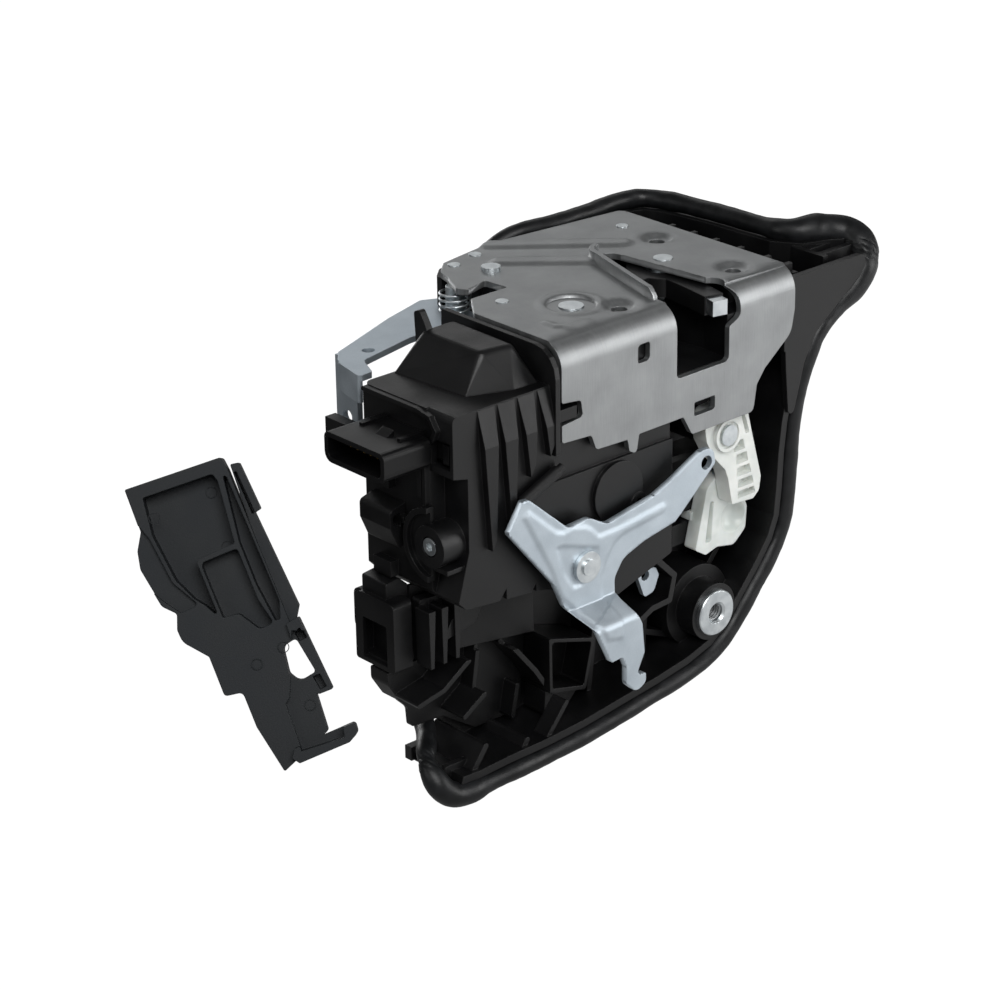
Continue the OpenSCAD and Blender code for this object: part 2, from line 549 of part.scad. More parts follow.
module carrier() color("#222224") difference() {
  union() {
    // Wall that carries the seal at the front
    translate([0, carrier_back, 0]) rotate([90, 0, 0]) linear_extrude(carrier_back - seal_front + 1.5)
      polygon(concat(front_line(rim), back_to_front(front_line(rim + wall + 0.4))));
    // Rear wall
    translate([0, carrier_back, 0]) rotate([90, 0, 0]) linear_extrude(3)
      polygon(concat(front_line(rim + 1, 1),
        [[-84, -134], [-97, -134], [-97, -129.5], [-84, -129.5], [-84, -92], [-52, -87.5], [-34, -94],
        [-8.5, -87], [-8, floor_low], [64, floor_low]]));
    // Wall that carries the seal at the top
    translate([0, 0, floor_low]) linear_extrude(-4 - floor_low)
      polygon(concat(top_line(rim), back_to_front(top_line(rim + wall))));
    // Ledge under the seal at the top, and flange behind it at the front
    translate([0, 0, -seal_r - 4.5]) linear_extrude(2)
      polygon(concat(ledge_line(-2.2), back_to_front(ledge_line(rim + 1))));
    translate([0, seal_front + seal_r + 2.5, 0]) rotate([90, 0, 0]) linear_extrude(2)
      polygon(concat(front_line(0, 1), back_to_front(front_line(rim + 1, 1))));
    // Floor under the latch
    translate([0, 0, floor_low]) linear_extrude(floor_top - floor_low)
      polygon(concat(top_line(rim + 1, 1), [[66, 12], [40, 10], [-8, 14],
        [-57, 12], [-57, 36], [-46, 58], [-30, plate_depth - 6], [-10, plate_depth + 2]]));
    // Front face beside the flange
    prism_y([[plate_right + 1, front_top, 0.5], [78, front_top, 2], [78.6, -9.5, 1.5],
             [76.4, -13, 2], [66, -20, 3],
             [56, -27, 3], [51, -36, 3], [46.5, -52, 2], [44, -52, 2], [42.5, -36, 3],
             [plate_right + 1, -22, 3]], face_front, face_front + wall);
    block([plate_right + 1, plate_right + 1 + wall], [face_front, carrier_back], [-30, front_top - 2]);
    // Ribs between the plate and the seal
    for (y = tray_rib_y) block([plate_right + 0.8, 51], [y - 0.8, y + 0.8], [floor_low, -4]);
    block([50, 50 + wall], [10, plate_depth], [floor_low, -7]);
    block([64, 79.5], [12, 12 + wall], [floor_low, -5]);
    block([64, 64 + wall], [10, 24], [floor_low, -5]);
    block([64, 78], [18, 18 + 1.6], [floor_low, -5]);
    // Boss of the insert and its ribs
    bar_y(insert_at[0], insert_at[1], insert_r + 1.9, insert_face + 1.5, carrier_back);
    bar_y(insert_at[0], insert_at[1], insert_r + 6, insert_face + 9, carrier_back);
    // Boss of the lock lever
    bar_y(lock_at[0], lock_at[1], 5.5, lock_face + lock_t + 0.1, carrier_back);
    // Pad that guides the lock slider
    block([slide_at[0] - 17, slide_at[0] + 12], [slide_y + slide_t + 0.3, carrier_back],
          [slide_at[1] - 9, slide_at[1] + 9]);
    // Guide wall round the pull tab
    translate([0, carrier_back, 0]) rotate([90, 0, 0]) linear_extrude(carrier_back - 6) difference() {
      union() { arm([-12.5, -86], [-5.5, -93], 1); arm([-5.5, -93], [-7.5, -101], 1);
        arm([-7.5, -101], [-15, -101.5], 1); arm([-15, -101.5], [-23, -105], 1); }
    }
    // Ribs across the front
    translate([0, carrier_back, 0]) rotate([90, 0, 0]) linear_extrude(carrier_back - 18) {
      arm([-29, -107], [6, -122], 1);
      arm([-28, -100], [-32, -134], 1);
      arm([-6, -101], [-8, -130], 1);
      arm([20, -104], [36, -86], 1);
      arm([22, -119], [4, -102], 1);
      arm([-2, -60], [44, -62], 1);
      arm([30, -58], [33, -96], 1);
    }
    // Lower left corner
    prism_y([[-86, -139.3, 0], [-97, -138.4, 1], [-99.4, -134, 1], [-97, -130, 1], [-86, -130, 0]],
            seal_front + seal_r + 0.7, seal_front + seal_r + 2.7);
    translate([0, carrier_back, 0]) rotate([90, 0, 0]) linear_extrude(carrier_back - 8) {
      arm([-67, -130], [-69, -133], 1);
      arm([-84, -126], [-89, -132.8], 1);
    }
    translate([0, 13.5, 0]) rotate([90, 0, 0]) linear_extrude(13.5 - seal_front + 0.5)
      arm([-50.8, -122.5], [-59.6, -133], 0.8);
    // Stays that hold the floor from behind
    for (x = [0, 20, 40])
      prism_x([[carrier_back - 1, floor_low + 1, 0], [plate_depth, floor_low + 1, 3],
               [plate_depth - 6, floor_low - 3, 8],
               [carrier_back - 1, -72, 0]], x - 1.2, x + 1.2);
  }
  translate([0, 0, channel_low - wall - 0.4]) linear_extrude(floor_top - channel_low + wall + 1)
    striker_path(wall + 0.3);
  block([-mouth_half - wall - 2, 18], [-1, 14], [-30, -5]);
  bar_y(insert_at[0], insert_at[1], insert_r - 1.9, 0, insert_face + insert_len);
  bar_y(lock_at[0], lock_at[1], lock_pin_r, 0, carrier_back - 2);
  bar_y(40, -20, 2, 0, 30);
  block([slide_at[0] - 18, slide_at[0] + 13], [slide_y + slide_t - 1, slide_y + slide_t + 4.3],
        [slide_at[1] - 1.8, slide_at[1] + 1.8]);
}

module threaded_insert() color("#d5d8da") difference() {
  union() {
    bar_y(insert_at[0], insert_at[1], insert_r, insert_face, insert_face + 1.5);
    bar_y(insert_at[0], insert_at[1], insert_r - 1.9, insert_face + 1, insert_face + insert_len);
  }
  bar_y(insert_at[0], insert_at[1], screw_r, insert_face - 1, insert_face + insert_len + 1);
  translate([insert_at[0], insert_face - eps, insert_at[1]]) rotate([-90, 0, 0])
    cylinder(r1 = screw_r + 0.9, r2 = screw_r, h = 1);
}

// Lower edge of the actuator, from left to right, shared with the case below it
act_foot = [[-act_left, act_bottom + 6], [-96, act_bottom + 2], [-67, act_bottom - 1], [-50,
    act_bottom - 6]];
rim_x = -plate_left - 1.4;
act_edge = [
  [-act_left, act_top, 2], [rim_x, act_top, 0.5], [rim_x, -30, 1], [-16.5, -30, 2], [act_right, -37, 3],
  [act_right, -82, 1], [-34, -89, 1.5], [act_foot[3][0], act_foot[3][1], 1],
  [act_foot[2][0], act_foot[2][1], 1], [act_foot[1][0], act_foot[1][1], 1],
  [act_foot[0][0], act_foot[0][1], 1]];

// An outline moved inwards all round by d, for points listed clockwise
function inset(p, d) =
  let (k = len(p))
  [for (i = [0:k - 1])
    let (a = flat(p[(i + k - 1) % k]), b = flat(p[i]), c = flat(p[(i + 1) % k]),
         u = unit(b - a), v = unit(c - b),
         m = [u[1], -u[0]], n = [v[1], -v[0]],
         q = b + (m + n) * d / (1 + m * n))
    [q[0], q[1], len(p[i]) > 2 ? max(0, p[i][2] - d / 2) : 0]];

screw_left = [10, -54];
fin_h = 2.4;
case_screw_at = [[-94, -35], [-18, -35.5], [-71, -74.4]];
motor_at = [20, -62];
wheel_r = gear_m * wheel_teeth / 2;
worm_r = 4;
wheel_at = [-34, motor_at[1] + wheel_r + worm_r];
act_right_back = 36;

// Raised block on the cap: its foot, and the corners of its level top
roof_foot = [[-86, 12], [-88.5, act_back - 1], [rim_x - 3, act_back - 1], [rim_x - 3, 6], [-72, 6.5]];
roof_top = [[-76.8, 15.5], [-77, act_back - 4], [-68, act_back - 4], [-68.5, 14]];
roof_round = 3;
module cap_roof(thick) {
  hull() {
    translate([0, 0, act_top - 1 - thick]) linear_extrude(1.2 + thick) polygon(outline(inset(roof_foot,
        thick)));
    for (q = inset(roof_top, thick))
      translate([q[0], q[1], act_top + roof_h - roof_round - thick]) sphere(r = roof_round, $fn = 28);
  }
}

// Pocket on the left, seen from the front, and the seam's rib, seen from the left
pocket_back = 12.4;
pocket_deep = 5.5;
left_pocket = [[-act_left - 1, -31], [-act_left + pocket_deep, -32.5], [-act_left + pocket_deep, -56],
               [-act_left + 0.6, -73], [-act_left - 1, -73]];
seam_path = [[act_back - 2, act_top - 1], [16, act_top - 1], [10.5, act_top - 2], [8, act_top - 5.5],
             [9.4, act_top - 8.5], [13.3, act_top - 11.5], [13.3, act_top - 31]];
snap_low = -29;
snap_high = -20.5;
snap_front = act_front + 1.4;
snap_back = 11.6;
module seam_rib() {
  translate([-act_left - 1.8, 0, 0]) rotate([90, 0, 90]) linear_extrude(2.4)
    for (i = [0:len(seam_path) - 2]) arm(seam_path[i], seam_path[i + 1], 0.7);
}

module actuator_cap() color("#2a2a2d") difference() {
  union() {
    difference() {
      prism_y(act_edge, act_front, seam_y);
      prism_y(left_pocket, act_front - 1, pocket_back);
    }
    seam_rib();
    // Lid behind the seam, and the sloping roof on it
    prism_z([[-act_left, seam_y - 1, 0], [rim_x, seam_y - 1, 0], [rim_x, act_back, 1],
             [-act_left, act_back, 3]], act_top - 2, act_top);
    cap_roof(0);
    // Wall beside the plate's left edge
    prism_x([[50, act_top - 2, 1], [50, -0.8, 1], [-0.8, -0.8, bend_r + 1], [-0.8, -34, 0.5],
             [act_front + 1, -34, 0], [act_front + 1, act_top - 2, 0]], rim_x - 1.8, rim_x);
    prism_y([[rim_x - 1.8, -32, 0], [-53.5, -33, 1], [-47, -41, 0], [-48.5, -42, 0], [-54.3, -35, 1],
             [rim_x - 1.8, -34, 0]], plate_t + 0.2, act_front + 2);
    // Snap nose in the notch of the flange
    block([rim_x - 1, -53.5], [-0.5, 1.7], [-23.8, -20]);
    block([rim_x - 1, -55], [1.5, act_front + 1.5], [-23.8, -20]);
    // Fins on the front, flush at the top and standing out below
    for (i = [0:3]) {
      x = -90.5 + i * 7.8;
      foot = [-57, -50, -38, -33.5][i];
      intersection() {
        prism_y([[x, act_top - 0.4, 0], [x + 6.6, act_top - 0.4, 0], [x + 5, foot + 3.6, 0], [x + 3.2,
            foot, 0]],
                -2, act_front + 1);
        prism_x([[act_front + 1, act_top - 0.2], [act_front - 0.1, act_top - 0.2], [act_front - fin_h,
            act_top - 12],
                 [act_front - fin_h, foot - 1], [act_front + 1, foot - 1]], x - 1, x + 9);
      }
    }
    // Round cover of the worm wheel and a screw boss
    bar_y(wheel_at[0] - 1, wheel_at[1] - 8, 10, 0.6, act_front + 1);
    bar_y(-26.7, -60, 3.6, 0.2, act_front + 1);
    // Seat of the release lever
    bar_y(release_at[0], release_at[1], 7, lever_back + 0.1, act_front + 1);
    // Screw seat on the left, and the guard that runs around its rear half
    bar_x(screw_left[0], screw_left[1], 6.6, -act_left - 3, -act_left - 0.1);
    intersection() {
      bar_x(screw_left[0], screw_left[1], 6.6, -act_left - 2, -act_left + pocket_deep + 0.5);
      block([-act_left - 3, 0], [0, pocket_back + 1], [-80, -30]);
    }
    intersection() {
      difference() {
        bar_x(screw_left[0], screw_left[1], 12, -act_left - 3, -act_left - 0.1);
        bar_x(screw_left[0], screw_left[1], 10.2, -act_left - 4, -act_left - 1.4);
      }
      block([-act_left - 5, -act_left], [pocket_back - 1.4, 40], [-80, -20]);
    }
    block([-act_left - 2.2, -act_left + pocket_deep + 0.5], [act_front + 1, screw_left[0]], [-61.4, -60]);
    // Fin behind the roof
    prism_x([[act_back - 3, act_top, 0], [act_back + 1, act_top, 0], [act_back + 2, 4, 1],
             [act_back - 0.5, 5, 1], [act_back - 8, act_top + 5, 0]], -78, -75.8);
  }
  difference() {
    prism_y(inset(act_edge, wall), act_front + wall, seam_y + 1);
    prism_y([[-act_left, -31 + wall], [-act_left + pocket_deep + wall, -32.5 + wall],
             [-act_left + pocket_deep + wall, -56], [-act_left + 0.6 + wall, -73],
             [-act_left + 0.6 + wall, -80],
             [-act_left, -80]], 0, pocket_back + wall);
  }
  cap_roof(wall);
  // Snap window
  block([-act_left - 1, -act_left + wall + 0.1], [snap_front, snap_back], [snap_low, snap_high]);
  block([-act_left + wall, rim_x - wall], [seam_y - 2, act_back - wall], [act_top - 3, act_top - 0.6]);
  bar_x(screw_left[0], screw_left[1], 3.2, -act_left - 5, -act_left - 1.2);
  bar_x(screw_left[0], screw_left[1], 1.5, -act_left - 5, -act_left + wall + pocket_deep + 1);
  bar_y(-26.7, -60, 1.9, -1, act_front + wall + 1);
  bar_y(release_at[0], release_at[1], lever_pin_r, -9, act_front + wall + 1);
  // Way out of the pull tab
  block([-30, act_right - wall], [act_front + wall + 0.2, 11], [-92, -80]);
  // Notches in the lower edge of the front
  for (q = [[-85, -76], [-73, -78]])
    prism_y([[q[0], q[1] - 2, 0], [q[0] + 5, q[1] - 2, 0], [q[0] + 5, q[1] + 4, 0]], act_front - 1,
        act_front + 1.4);
  // Room for the flange
  block([rim_x + 0.3, 8], [-1, act_front + 1.2], [-43.6, -28]);
}

module actuator_case() color("#1f1f21") difference() {
  union() {
    intersection() {
      prism_y(act_edge, seam_y, act_back);
      union() {
        block([-200, rim_x - 0.01], [0, 100], [-200, act_top - 2]);
        block([-200, 20], [0, act_right_back], [-200, act_top - 2]);
      }
    }
    // Tongue that snaps into the window of the cap
    block([-act_left + wall + 0.2, -act_left + wall + 1.8], [snap_front + 1, seam_y + 1.6],
        [snap_low + 1.2, snap_high - 1.2]);
    block([-act_left + 0.8, -act_left + wall + 0.4], [snap_front + 1.4, snap_front + 4], [snap_low + 1.2,
        snap_high - 1.2]);
    block([-act_left + wall - 0.6, -act_left + wall + 1.8], [seam_y + 0.1, seam_y + 3], [snap_low + 1.2,
        snap_high - 1.2]);
    // Rib beside the seam and the catches on the left
    block([-act_left - 1.6, -act_left + 1], [seam_y + 0.2, seam_y + 2], [-40.5, -31]);
    for (z = [-36, -65]) block([-act_left - 3, -act_left + 1], [28, 36], [z - 5, z]);
    // Ears on the rear for the screws
    for (q = case_screw_at) bar_y(q[0], q[1], 4.5, seam_y + 1, case_rear(q));
    // Shelf behind the connector
    block([-act_left - 2, -act_left + 2], [act_back - 1, act_back + 16], [-33, -27]);
    block([-act_left, -act_left + 14], [act_back - 1, act_back + 2], [-31.5, -27]);
  }
  difference() {
    intersection() {
      prism_y(inset(act_edge, wall), seam_y - 1, act_back - wall);
      union() {
        block([-200, rim_x - wall], [0, 100], [-200, act_top - 1]);
        block([-200, 20], [0, act_right_back - wall], [-200, act_top - 1]);
      }
    }
    for (q = case_screw_at) bar_y(q[0], q[1], 4, seam_y, act_back);
  }
  for (q = case_screw_at) bar_y(q[0], q[1], 1.5, seam_y - 1, act_back + 2);
  for (i = [0:conn_pins - 1]) pin_way(i, 0.1);
  block([-30, act_right - wall], [0, seam_y + 2], [-92, -80]);
}
function case_rear(q) = q[0] < rim_x - 4 ? act_back + 0.6 : act_right_back + 0.6;

conn_at = [22.5, -24.5];
function pin_y(i) = conn_at[0] + (i - (conn_pins - 1) / 2) * 3;
module pin_way(i, play)
  block([-act_left - conn_len + 5, -act_left + 8], [pin_y(i) - 0.4 - play, pin_y(i) + 0.4 + play],
        [conn_at[1] - 0.4 - play, conn_at[1] + 0.4 + play]);

module connector_shroud() color("#242426") difference() {
  union() {
    prism_x([[conn_at[0] - conn_w / 2, conn_at[1] - conn_h / 2, 3], [conn_at[0] + conn_w / 2,
        conn_at[1] - conn_h / 2, 3],
             [conn_at[0] + conn_w / 2, conn_at[1] + conn_h / 2, 2], [conn_at[0] - conn_w / 2,
             conn_at[1] + conn_h / 2, 2]],
            -act_left - conn_len, -act_left);
    prism_y([[-act_left - 12, conn_at[1] + conn_h / 2 - 0.5, 0], [-act_left - 8,
        conn_at[1] + conn_h / 2 - 0.5, 0],
             [-act_left - 8, conn_at[1] + conn_h / 2 + 1.6, 0]], conn_at[0] - 4, conn_at[0] + 1);
    for (y = [conn_at[0] - 9, conn_at[0] + 8])
      block([-act_left - 10, -act_left], [y, y + 1.4], [conn_at[1] + conn_h / 2 - 1,
          conn_at[1] + conn_h / 2 + 0.8]);
  }
  prism_x([[conn_at[0] - conn_w / 2 + 1.6, conn_at[1] - conn_h / 2 + 1.6, 1.6],
           [conn_at[0] + conn_w / 2 - 1.6, conn_at[1] - conn_h / 2 + 1.6, 1.6],
           [conn_at[0] + conn_w / 2 - 1.6, conn_at[1] + conn_h / 2 - 1.6, 1],
           [conn_at[0] - conn_w / 2 + 1.6, conn_at[1] + conn_h / 2 - 1.6, 1]],
          -act_left - conn_len - 1, -act_left - 4.6);
  // Step that clears the seam's rib
  block([-act_left - 2.3, -act_left + 1], [conn_at[0] - conn_w, 14.25], [-60, 0]);
  for (i = [0:conn_pins - 1]) pin_way(i, 0);
}
module connector_pins() color("#c9b27a") for (i = [0:conn_pins - 1]) pin_way(i, 0);

module case_screws() color("#c2c5c8") {
  difference() {
    union() {
      bar_x(screw_left[0], screw_left[1], 2.75, -act_left - 3, -act_left - 1.2);
      bar_x(screw_left[0], screw_left[1], 1.5, -act_left - 2, -act_left + wall);
    }
    translate([-act_left - 3.5, screw_left[0], screw_left[1]]) rotate([0, 90, 0]) cylinder(r = 1.4,
        h = 1.6, $fn = 6);
  }
  for (q = case_screw_at) {
    bar_y(q[0], q[1], 3, case_rear(q), case_rear(q) + 1.8);
    bar_y(q[0], q[1], 1.5, seam_y + 1, case_rear(q) + 1);
  }
}

// Motor, worm and worm wheel of the power lock
motor_x0 = -act_left + wall + pocket_deep + 0.6;
motor_x1 = motor_x0 + motor_len;
module motor() color("#9b9ea1") difference() {
  union() {
    intersection() {
      bar_x(motor_at[0], motor_at[1], motor_r, motor_x0, motor_x1);
      block([-200, 0], [0, 60], [motor_at[1] - motor_r + 1, motor_at[1] + motor_r - 1]);
    }
    bar_x(motor_at[0], motor_at[1], 3, motor_x0 - 1.5, motor_x1 + 1.5);
  }
  bar_x(motor_at[0], motor_at[1], 1.2, motor_x1 - 6, motor_x1 + 3);
}

worm_pitch = PI * gear_m;
worm_len = 7 * worm_pitch;
// The screw of the worm: a ridge wound around its core
module motor_worm() color("#c7a86a") {
  bar_x(motor_at[0], motor_at[1], 1.1, motor_x1 - 5, wheel_at[0] - worm_len / 2 - 1);
  bar_x(motor_at[0], motor_at[1], worm_r - gear_m * 1.1, wheel_at[0] - worm_len / 2 - 2,
      wheel_at[0] + worm_len / 2 + 4);
  steps = 18;
  turns = 6;
  root = worm_r - gear_m * 1.3;
  tip = worm_r + gear_m * 0.75;
  half_root = worm_pitch * 0.24;
  half_tip = worm_pitch * 0.1;
  n = steps * turns;
  pts = [for (i = [0:n]) let (a = 360 * i / steps + worm_phase,
      x = wheel_at[0] + worm_pitch * (i / steps - turns / 2))
    for (c = [[-half_root, root], [-half_tip, tip], [half_tip, tip], [half_root, root]])
      [x + c[0], motor_at[0] + c[1] * cos(a), motor_at[1] + c[1] * sin(a)]];
  skin = [for (i = [0:n - 1]) for (j = [0:3])
    let (a = i * 4 + j, b = i * 4 + (j + 1) % 4, c = (i + 1) * 4 + (j + 1) % 4, d = (i + 1) * 4 + j)
    each [[a, b, c], [a, c, d]]];
  polyhedron(pts, concat(skin, [[3, 2, 1, 0], [for (j = [0:3]) n * 4 + j]]), convexity = 8);
}
// Turn of the thread at which a tooth gap faces it at rest
worm_phase = 90;

wheel_y = motor_at[0] - 2;
wheel_t = 4;
module worm_wheel() color("#e8e4d8") difference() {
  union() {
    translate([wheel_at[0], wheel_y + wheel_t, wheel_at[1]]) rotate([90, 0, 0]) linear_extrude(wheel_t) {
      circle(r = wheel_r - gear_m * 1.15);
      for (i = [0:wheel_teeth - 1]) rotate(360 * (i + 0.5) / wheel_teeth)
        polygon([[wheel_r - gear_m * 1.5, -gear_m * 0.6], [wheel_r + gear_m * 0.7, -gear_m * 0.25],
                 [wheel_r + gear_m * 0.7, gear_m * 0.25], [wheel_r - gear_m * 1.5, gear_m * 0.6]]);
    }
    bar_y(wheel_at[0], wheel_at[1], 4.5, wheel_y - 3, wheel_y + wheel_t + 4);
  }
  bar_y(wheel_at[0], wheel_at[1], axle_r + running_gap, wheel_y - 4, wheel_y + wheel_t + 5);
}
axle_r = 2;
module wheel_axle() color("#b4b7ba")
  bar_y(wheel_at[0], wheel_at[1], axle_r, act_front + wall, act_right_back - wall);

module microswitches() color("#303236") for (q = [[-90, -22], [-76, -22]]) {
  block([q[0], q[0] + 9], [act_back - wall - 6, act_back - wall], [q[1] - 5, q[1]]);
  block([q[0] + 3, q[0] + 5], [act_back - wall - 7.2, act_back - wall - 6], [q[1] - 4, q[1] - 1]);
}

// Release lever: its outline seen from the front, and its stepped sheet seen from the side
lever_back = lever_t - lever_gap;
lever_pin_r = 2.6;
release_at = [-53.4, -71.2];
step_top = -83;
step_low = -89;
release_edge = [
  [-75.8, -43, 0.8], [-60.5, -56.5, 2.5], [-51.7, -56, 4], [-44.3, -60.2, 4], [-24.5, -56.9, 3],
  [-16.8, -53.9, 3], [-4.3, -48, 3], [0.8, -48, 3], [1.9, -53.6, 1.5], [-12.8, -66.2, 1.5],
  [-15.5, -68.2, 1.5], [-28.6, -70.5, 6], [-37.6, -73.5, 6], [-41.4, -79, 5], [-41.2, -85, 4],
  [-37.2, -93, 3], [-36.2, -103, 2], [-39.2, -109, 1.2], [-38, -110.2, 0.6], [-35.6, -110, 0.8],
  [-35.6, -113.4, 2], [-39.6, -115.6, 3], [-44, -111.5, 2.5], [-43.9, -105.6, 2], [-45.6, -101.6, 1],
  [-50.3, -102, 1.2], [-56.1, -90, 3], [-62.2, -82, 4], [-66.2, -73.4, 3], [-84.3, -51.4, 1],
  [-78.4, -42.6, 0.8]];

module release_lever() color("#cfd2d5") difference() {
  intersection() {
    prism_y(release_edge, lever_back - 20, lever_back + 1);
    prism_x([[lever_back - lever_t, 0, 0], [lever_back, 0, 0], [lever_back, step_top, 3],
             [lever_back - lever_step, step_low, 1.2], [lever_back - lever_step, -140, 0],
             [lever_back - lever_step - lever_t, -140, 0], [lever_back - lever_step - lever_t,
             step_low - 0.6, 3],
             [lever_back - lever_t, step_top - 0.6, 1.2]], -200, 60);
  }
  bar_y(release_at[0], release_at[1], lever_pin_r + running_gap, lever_back - 5, lever_back + 2);
  bar_y(-2, -52.5, 2.3, lever_back - 5, lever_back + 2);
  // Pressed bead along the lever
  prism_y([[-72.5, -49.5, 0.5], [-71.7, -48.8, 0.5], [-60, -59.5, 2], [-51.5, -59.3, 4], [-44, -63.2, 4],
           [-21, -58.2, 1], [-21, -59.2, 1], [-44, -64.2, 4], [-51.5, -60.3, 4], [-60.3, -60.6, 2]],
          lever_back - lever_t - 1, lever_back - lever_t + 0.4);
}

module release_lever_pin() color("#dfe2e4") {
  bar_y(release_at[0], release_at[1], lever_pin_r, lever_back - lever_t - 1, act_front + wall);
  bar_y(release_at[0], release_at[1], washer_r, lever_back - lever_t - 1.4, lever_back - lever_t - 0.06);
  bar_y(release_at[0], release_at[1], lever_pin_r, lever_back - lever_t - 2.1, lever_back - lever_t - 1);
}

// Rod from the lever's upper corner into the actuator
rod_r = 1.9;
rod_a = [-75.6, lever_back + rod_r + 0.02, -45.2];
rod_b = [-61, lever_back + rod_r + 0.02, -39];
module link_rod() color("#a9b0b5") {
  v = rod_b - rod_a;
  translate(rod_a) rotate([0, acos(v[2] / norm(v)), atan2(v[1], v[0])]) {
    cylinder(r = rod_r, h = norm(v));
    cylinder(r = rod_r * 0.7, h = norm(v) + 2);
  }
  bar_y(-75, -45.4, 1.4, lever_back, lever_back + 2);
}

module pull_tab() color("#e9eaea") difference() {
  union() {
    prism_y([[-21, -87.6, 1], [-12.4, -88.4, 1.5], [-11, -91.5, 1], [-13.2, -96.6, 2], [-17.3, -97.4, 1.2]],
            7.5, 9.3);
    prism_y([[-22, -74, 0.5], [-16, -74, 0.5], [-14.5, -89, 0.5], [-20.5, -89, 0.5]], 7.5, 9.3);
  }
  bar_y(-17, -90, 1.7, 6, 11);
}

// White lock lever and the slider it moves
lock_pin_r = 2.5;
lock_drive = [24, -73];
lock_drive_r = 1.9;
slide_y = lock_face + lock_t + 0.4;
slide_t = 5.2;
lock_edge = [
  [8, -41, 2], [24, -40, 2], [26, -48, 2], [27.4, -53.2, 2], [31.9, -69.6, 2], [31.2, -74.2, 2], [28.6,
  -76.5, 1.5],
  [19, -75.8, 0.8], [17, -66.4, 2], [15.6, -62.8, 2], [10.6, -57.4, 2], [7.2, -51.2, 2], [6.4, -47, 1.5]];

module lock_lever() color("#ecebe4") difference() {
  union() {
    prism_y(lock_edge, lock_face, lock_face + lock_t);
    difference() {
      bar_y(lock_at[0], lock_at[1], 5.6, lock_face - 1.4, lock_face + 1);
      bar_y(lock_at[0], lock_at[1], 4.5, lock_face - 2, lock_face - 0.5);
    }
    bar_y(lock_drive[0], lock_drive[1], lock_drive_r, lock_face + lock_t - 1, slide_y + slide_t - 1);
  }
  bar_y(lock_at[0], lock_at[1], lock_pin_r + running_gap, lock_face - 2, lock_face + lock_t + 1);
  // Pockets between its ribs
  for (q = [[19.5, 24.4, -58, -54.5], [20.5, 26, -62.6, -59.2], [21, 27.5, -67, -63.8], [21.5, 28.7, -71,
      -68.2],
            [21.5, 29.6, -74.6, -72.2]])
    prism_y([[q[0], q[2], 0.3], [q[1], q[2], 0.3], [q[1] - 0.9, q[3], 0.3], [q[0], q[3], 0.3]],
            lock_face - 1, lock_face + 2.6);
  prism_y([[21.6, -43.5, 0.5], [23, -43.5, 0.5], [26.4, -53, 0.5], [24.6, -53, 0.5]], lock_face - 1,
      lock_face + 2.6);
}

module lock_lever_pin() color("#b7c0bd") {
  bar_y(lock_at[0], lock_at[1], lock_pin_r, lock_face - 1.6, carrier_back - 2);
  bar_y(lock_at[0], lock_at[1], lock_pin_r + 0.9, lock_face - 1.8, lock_face - 0.9);
}

module lock_slider() color("#e4e6e4") difference() {
  union() {
    prism_y([[18.9, -67, 2], [14.2, -71, 3], [9.2, -91, 1], [13.8, -93.9, 1], [19, -92.6, 1],
             [26.6, -94.2, 3], [31.9, -89.8, 3], [32.4, -82, 4], [26.5, -70.1, 2]], slide_y,
             slide_y + slide_t);
    block([slide_at[0] - 10, slide_at[0] + 10], [slide_y + slide_t - 1, slide_y + slide_t + 3.5],
          [slide_at[1] - 1.4, slide_at[1] + 1.4]);
  }
  prism_y([[lock_drive[0] - lock_drive_r - 0.2, lock_drive[1] + 2.3, 1.5],
           [lock_drive[0] + lock_drive_r + 0.2, lock_drive[1] + 2.3, 1.5],
           [lock_drive[0] + lock_drive_r + 0.2, lock_drive[1] - 3.8, 1.5],
           [lock_drive[0] - lock_drive_r - 0.2, lock_drive[1] - 3.8, 1.5]], slide_y - 1,
           slide_y + slide_t + 1);
  prism_y([[15.6, -76, 1], [17.2, -76, 1], [16.2, -90, 1], [13.5, -90, 1]], slide_y - 1, slide_y + 2.4);
  translate([26, slide_y - 3, -84]) sphere(r = 6.2);
}

// Outside lever at the upper left, with its pin and its return spring
outer_low = -14;
outer_top = outer_low + lever_t;
module outer_lever() color("#d2d5d8") difference() {
  union() {
    prism_z([[-38, 60, 4], [-36.4, 70, 3], [-36.2, 80.6, 2], [-42, 83.6, 2], [-60, 78, 3], [-89.6, 66.2, 2],
             [-94, 61, 2], [-97.5, 46.3, 1], [-92.5, 46.6, 1], [-88.5, 55.5, 3], [-66, 60.5, 6],
             [-52, 61.5, 5], [-48, 57.5, 4], [-41, 57, 3]], outer_low, outer_top);
    // Edge bent down, with the hook that takes the cable
    hull() { bar_z(-96.6, 47.8, lever_t / 2, outer_low - 7, outer_top); bar_z(-94.2, 58.8, lever_t / 2,
        outer_low - 7, outer_top); }
    block([-91, -91 + lever_t], [56, 66], [outer_low - 17.5, outer_top - 0.2]);
    bar_x(61, outer_low - 17, 4.6, -91, -91 + lever_t);
  }
  bar_z(outer_pin_at[0], outer_pin_at[1], outer_pin_r + running_gap, outer_low - 1, outer_top + 1);
  bar_x(61, outer_low - 17, 2.2, -95, -85);
  bar_z(-82, 61, 2, outer_low - 1, outer_top + 1);
}
outer_pin_r = 3;
module outer_lever_pin() color("#b9bbbd") {
  bar_z(outer_pin_at[0], outer_pin_at[1], outer_pin_r, outer_low - 1.4, -plate_t);
  bar_z(outer_pin_at[0], outer_pin_at[1], outer_pin_r + 1.8, outer_low - 1.5, outer_low - 0.1);
}
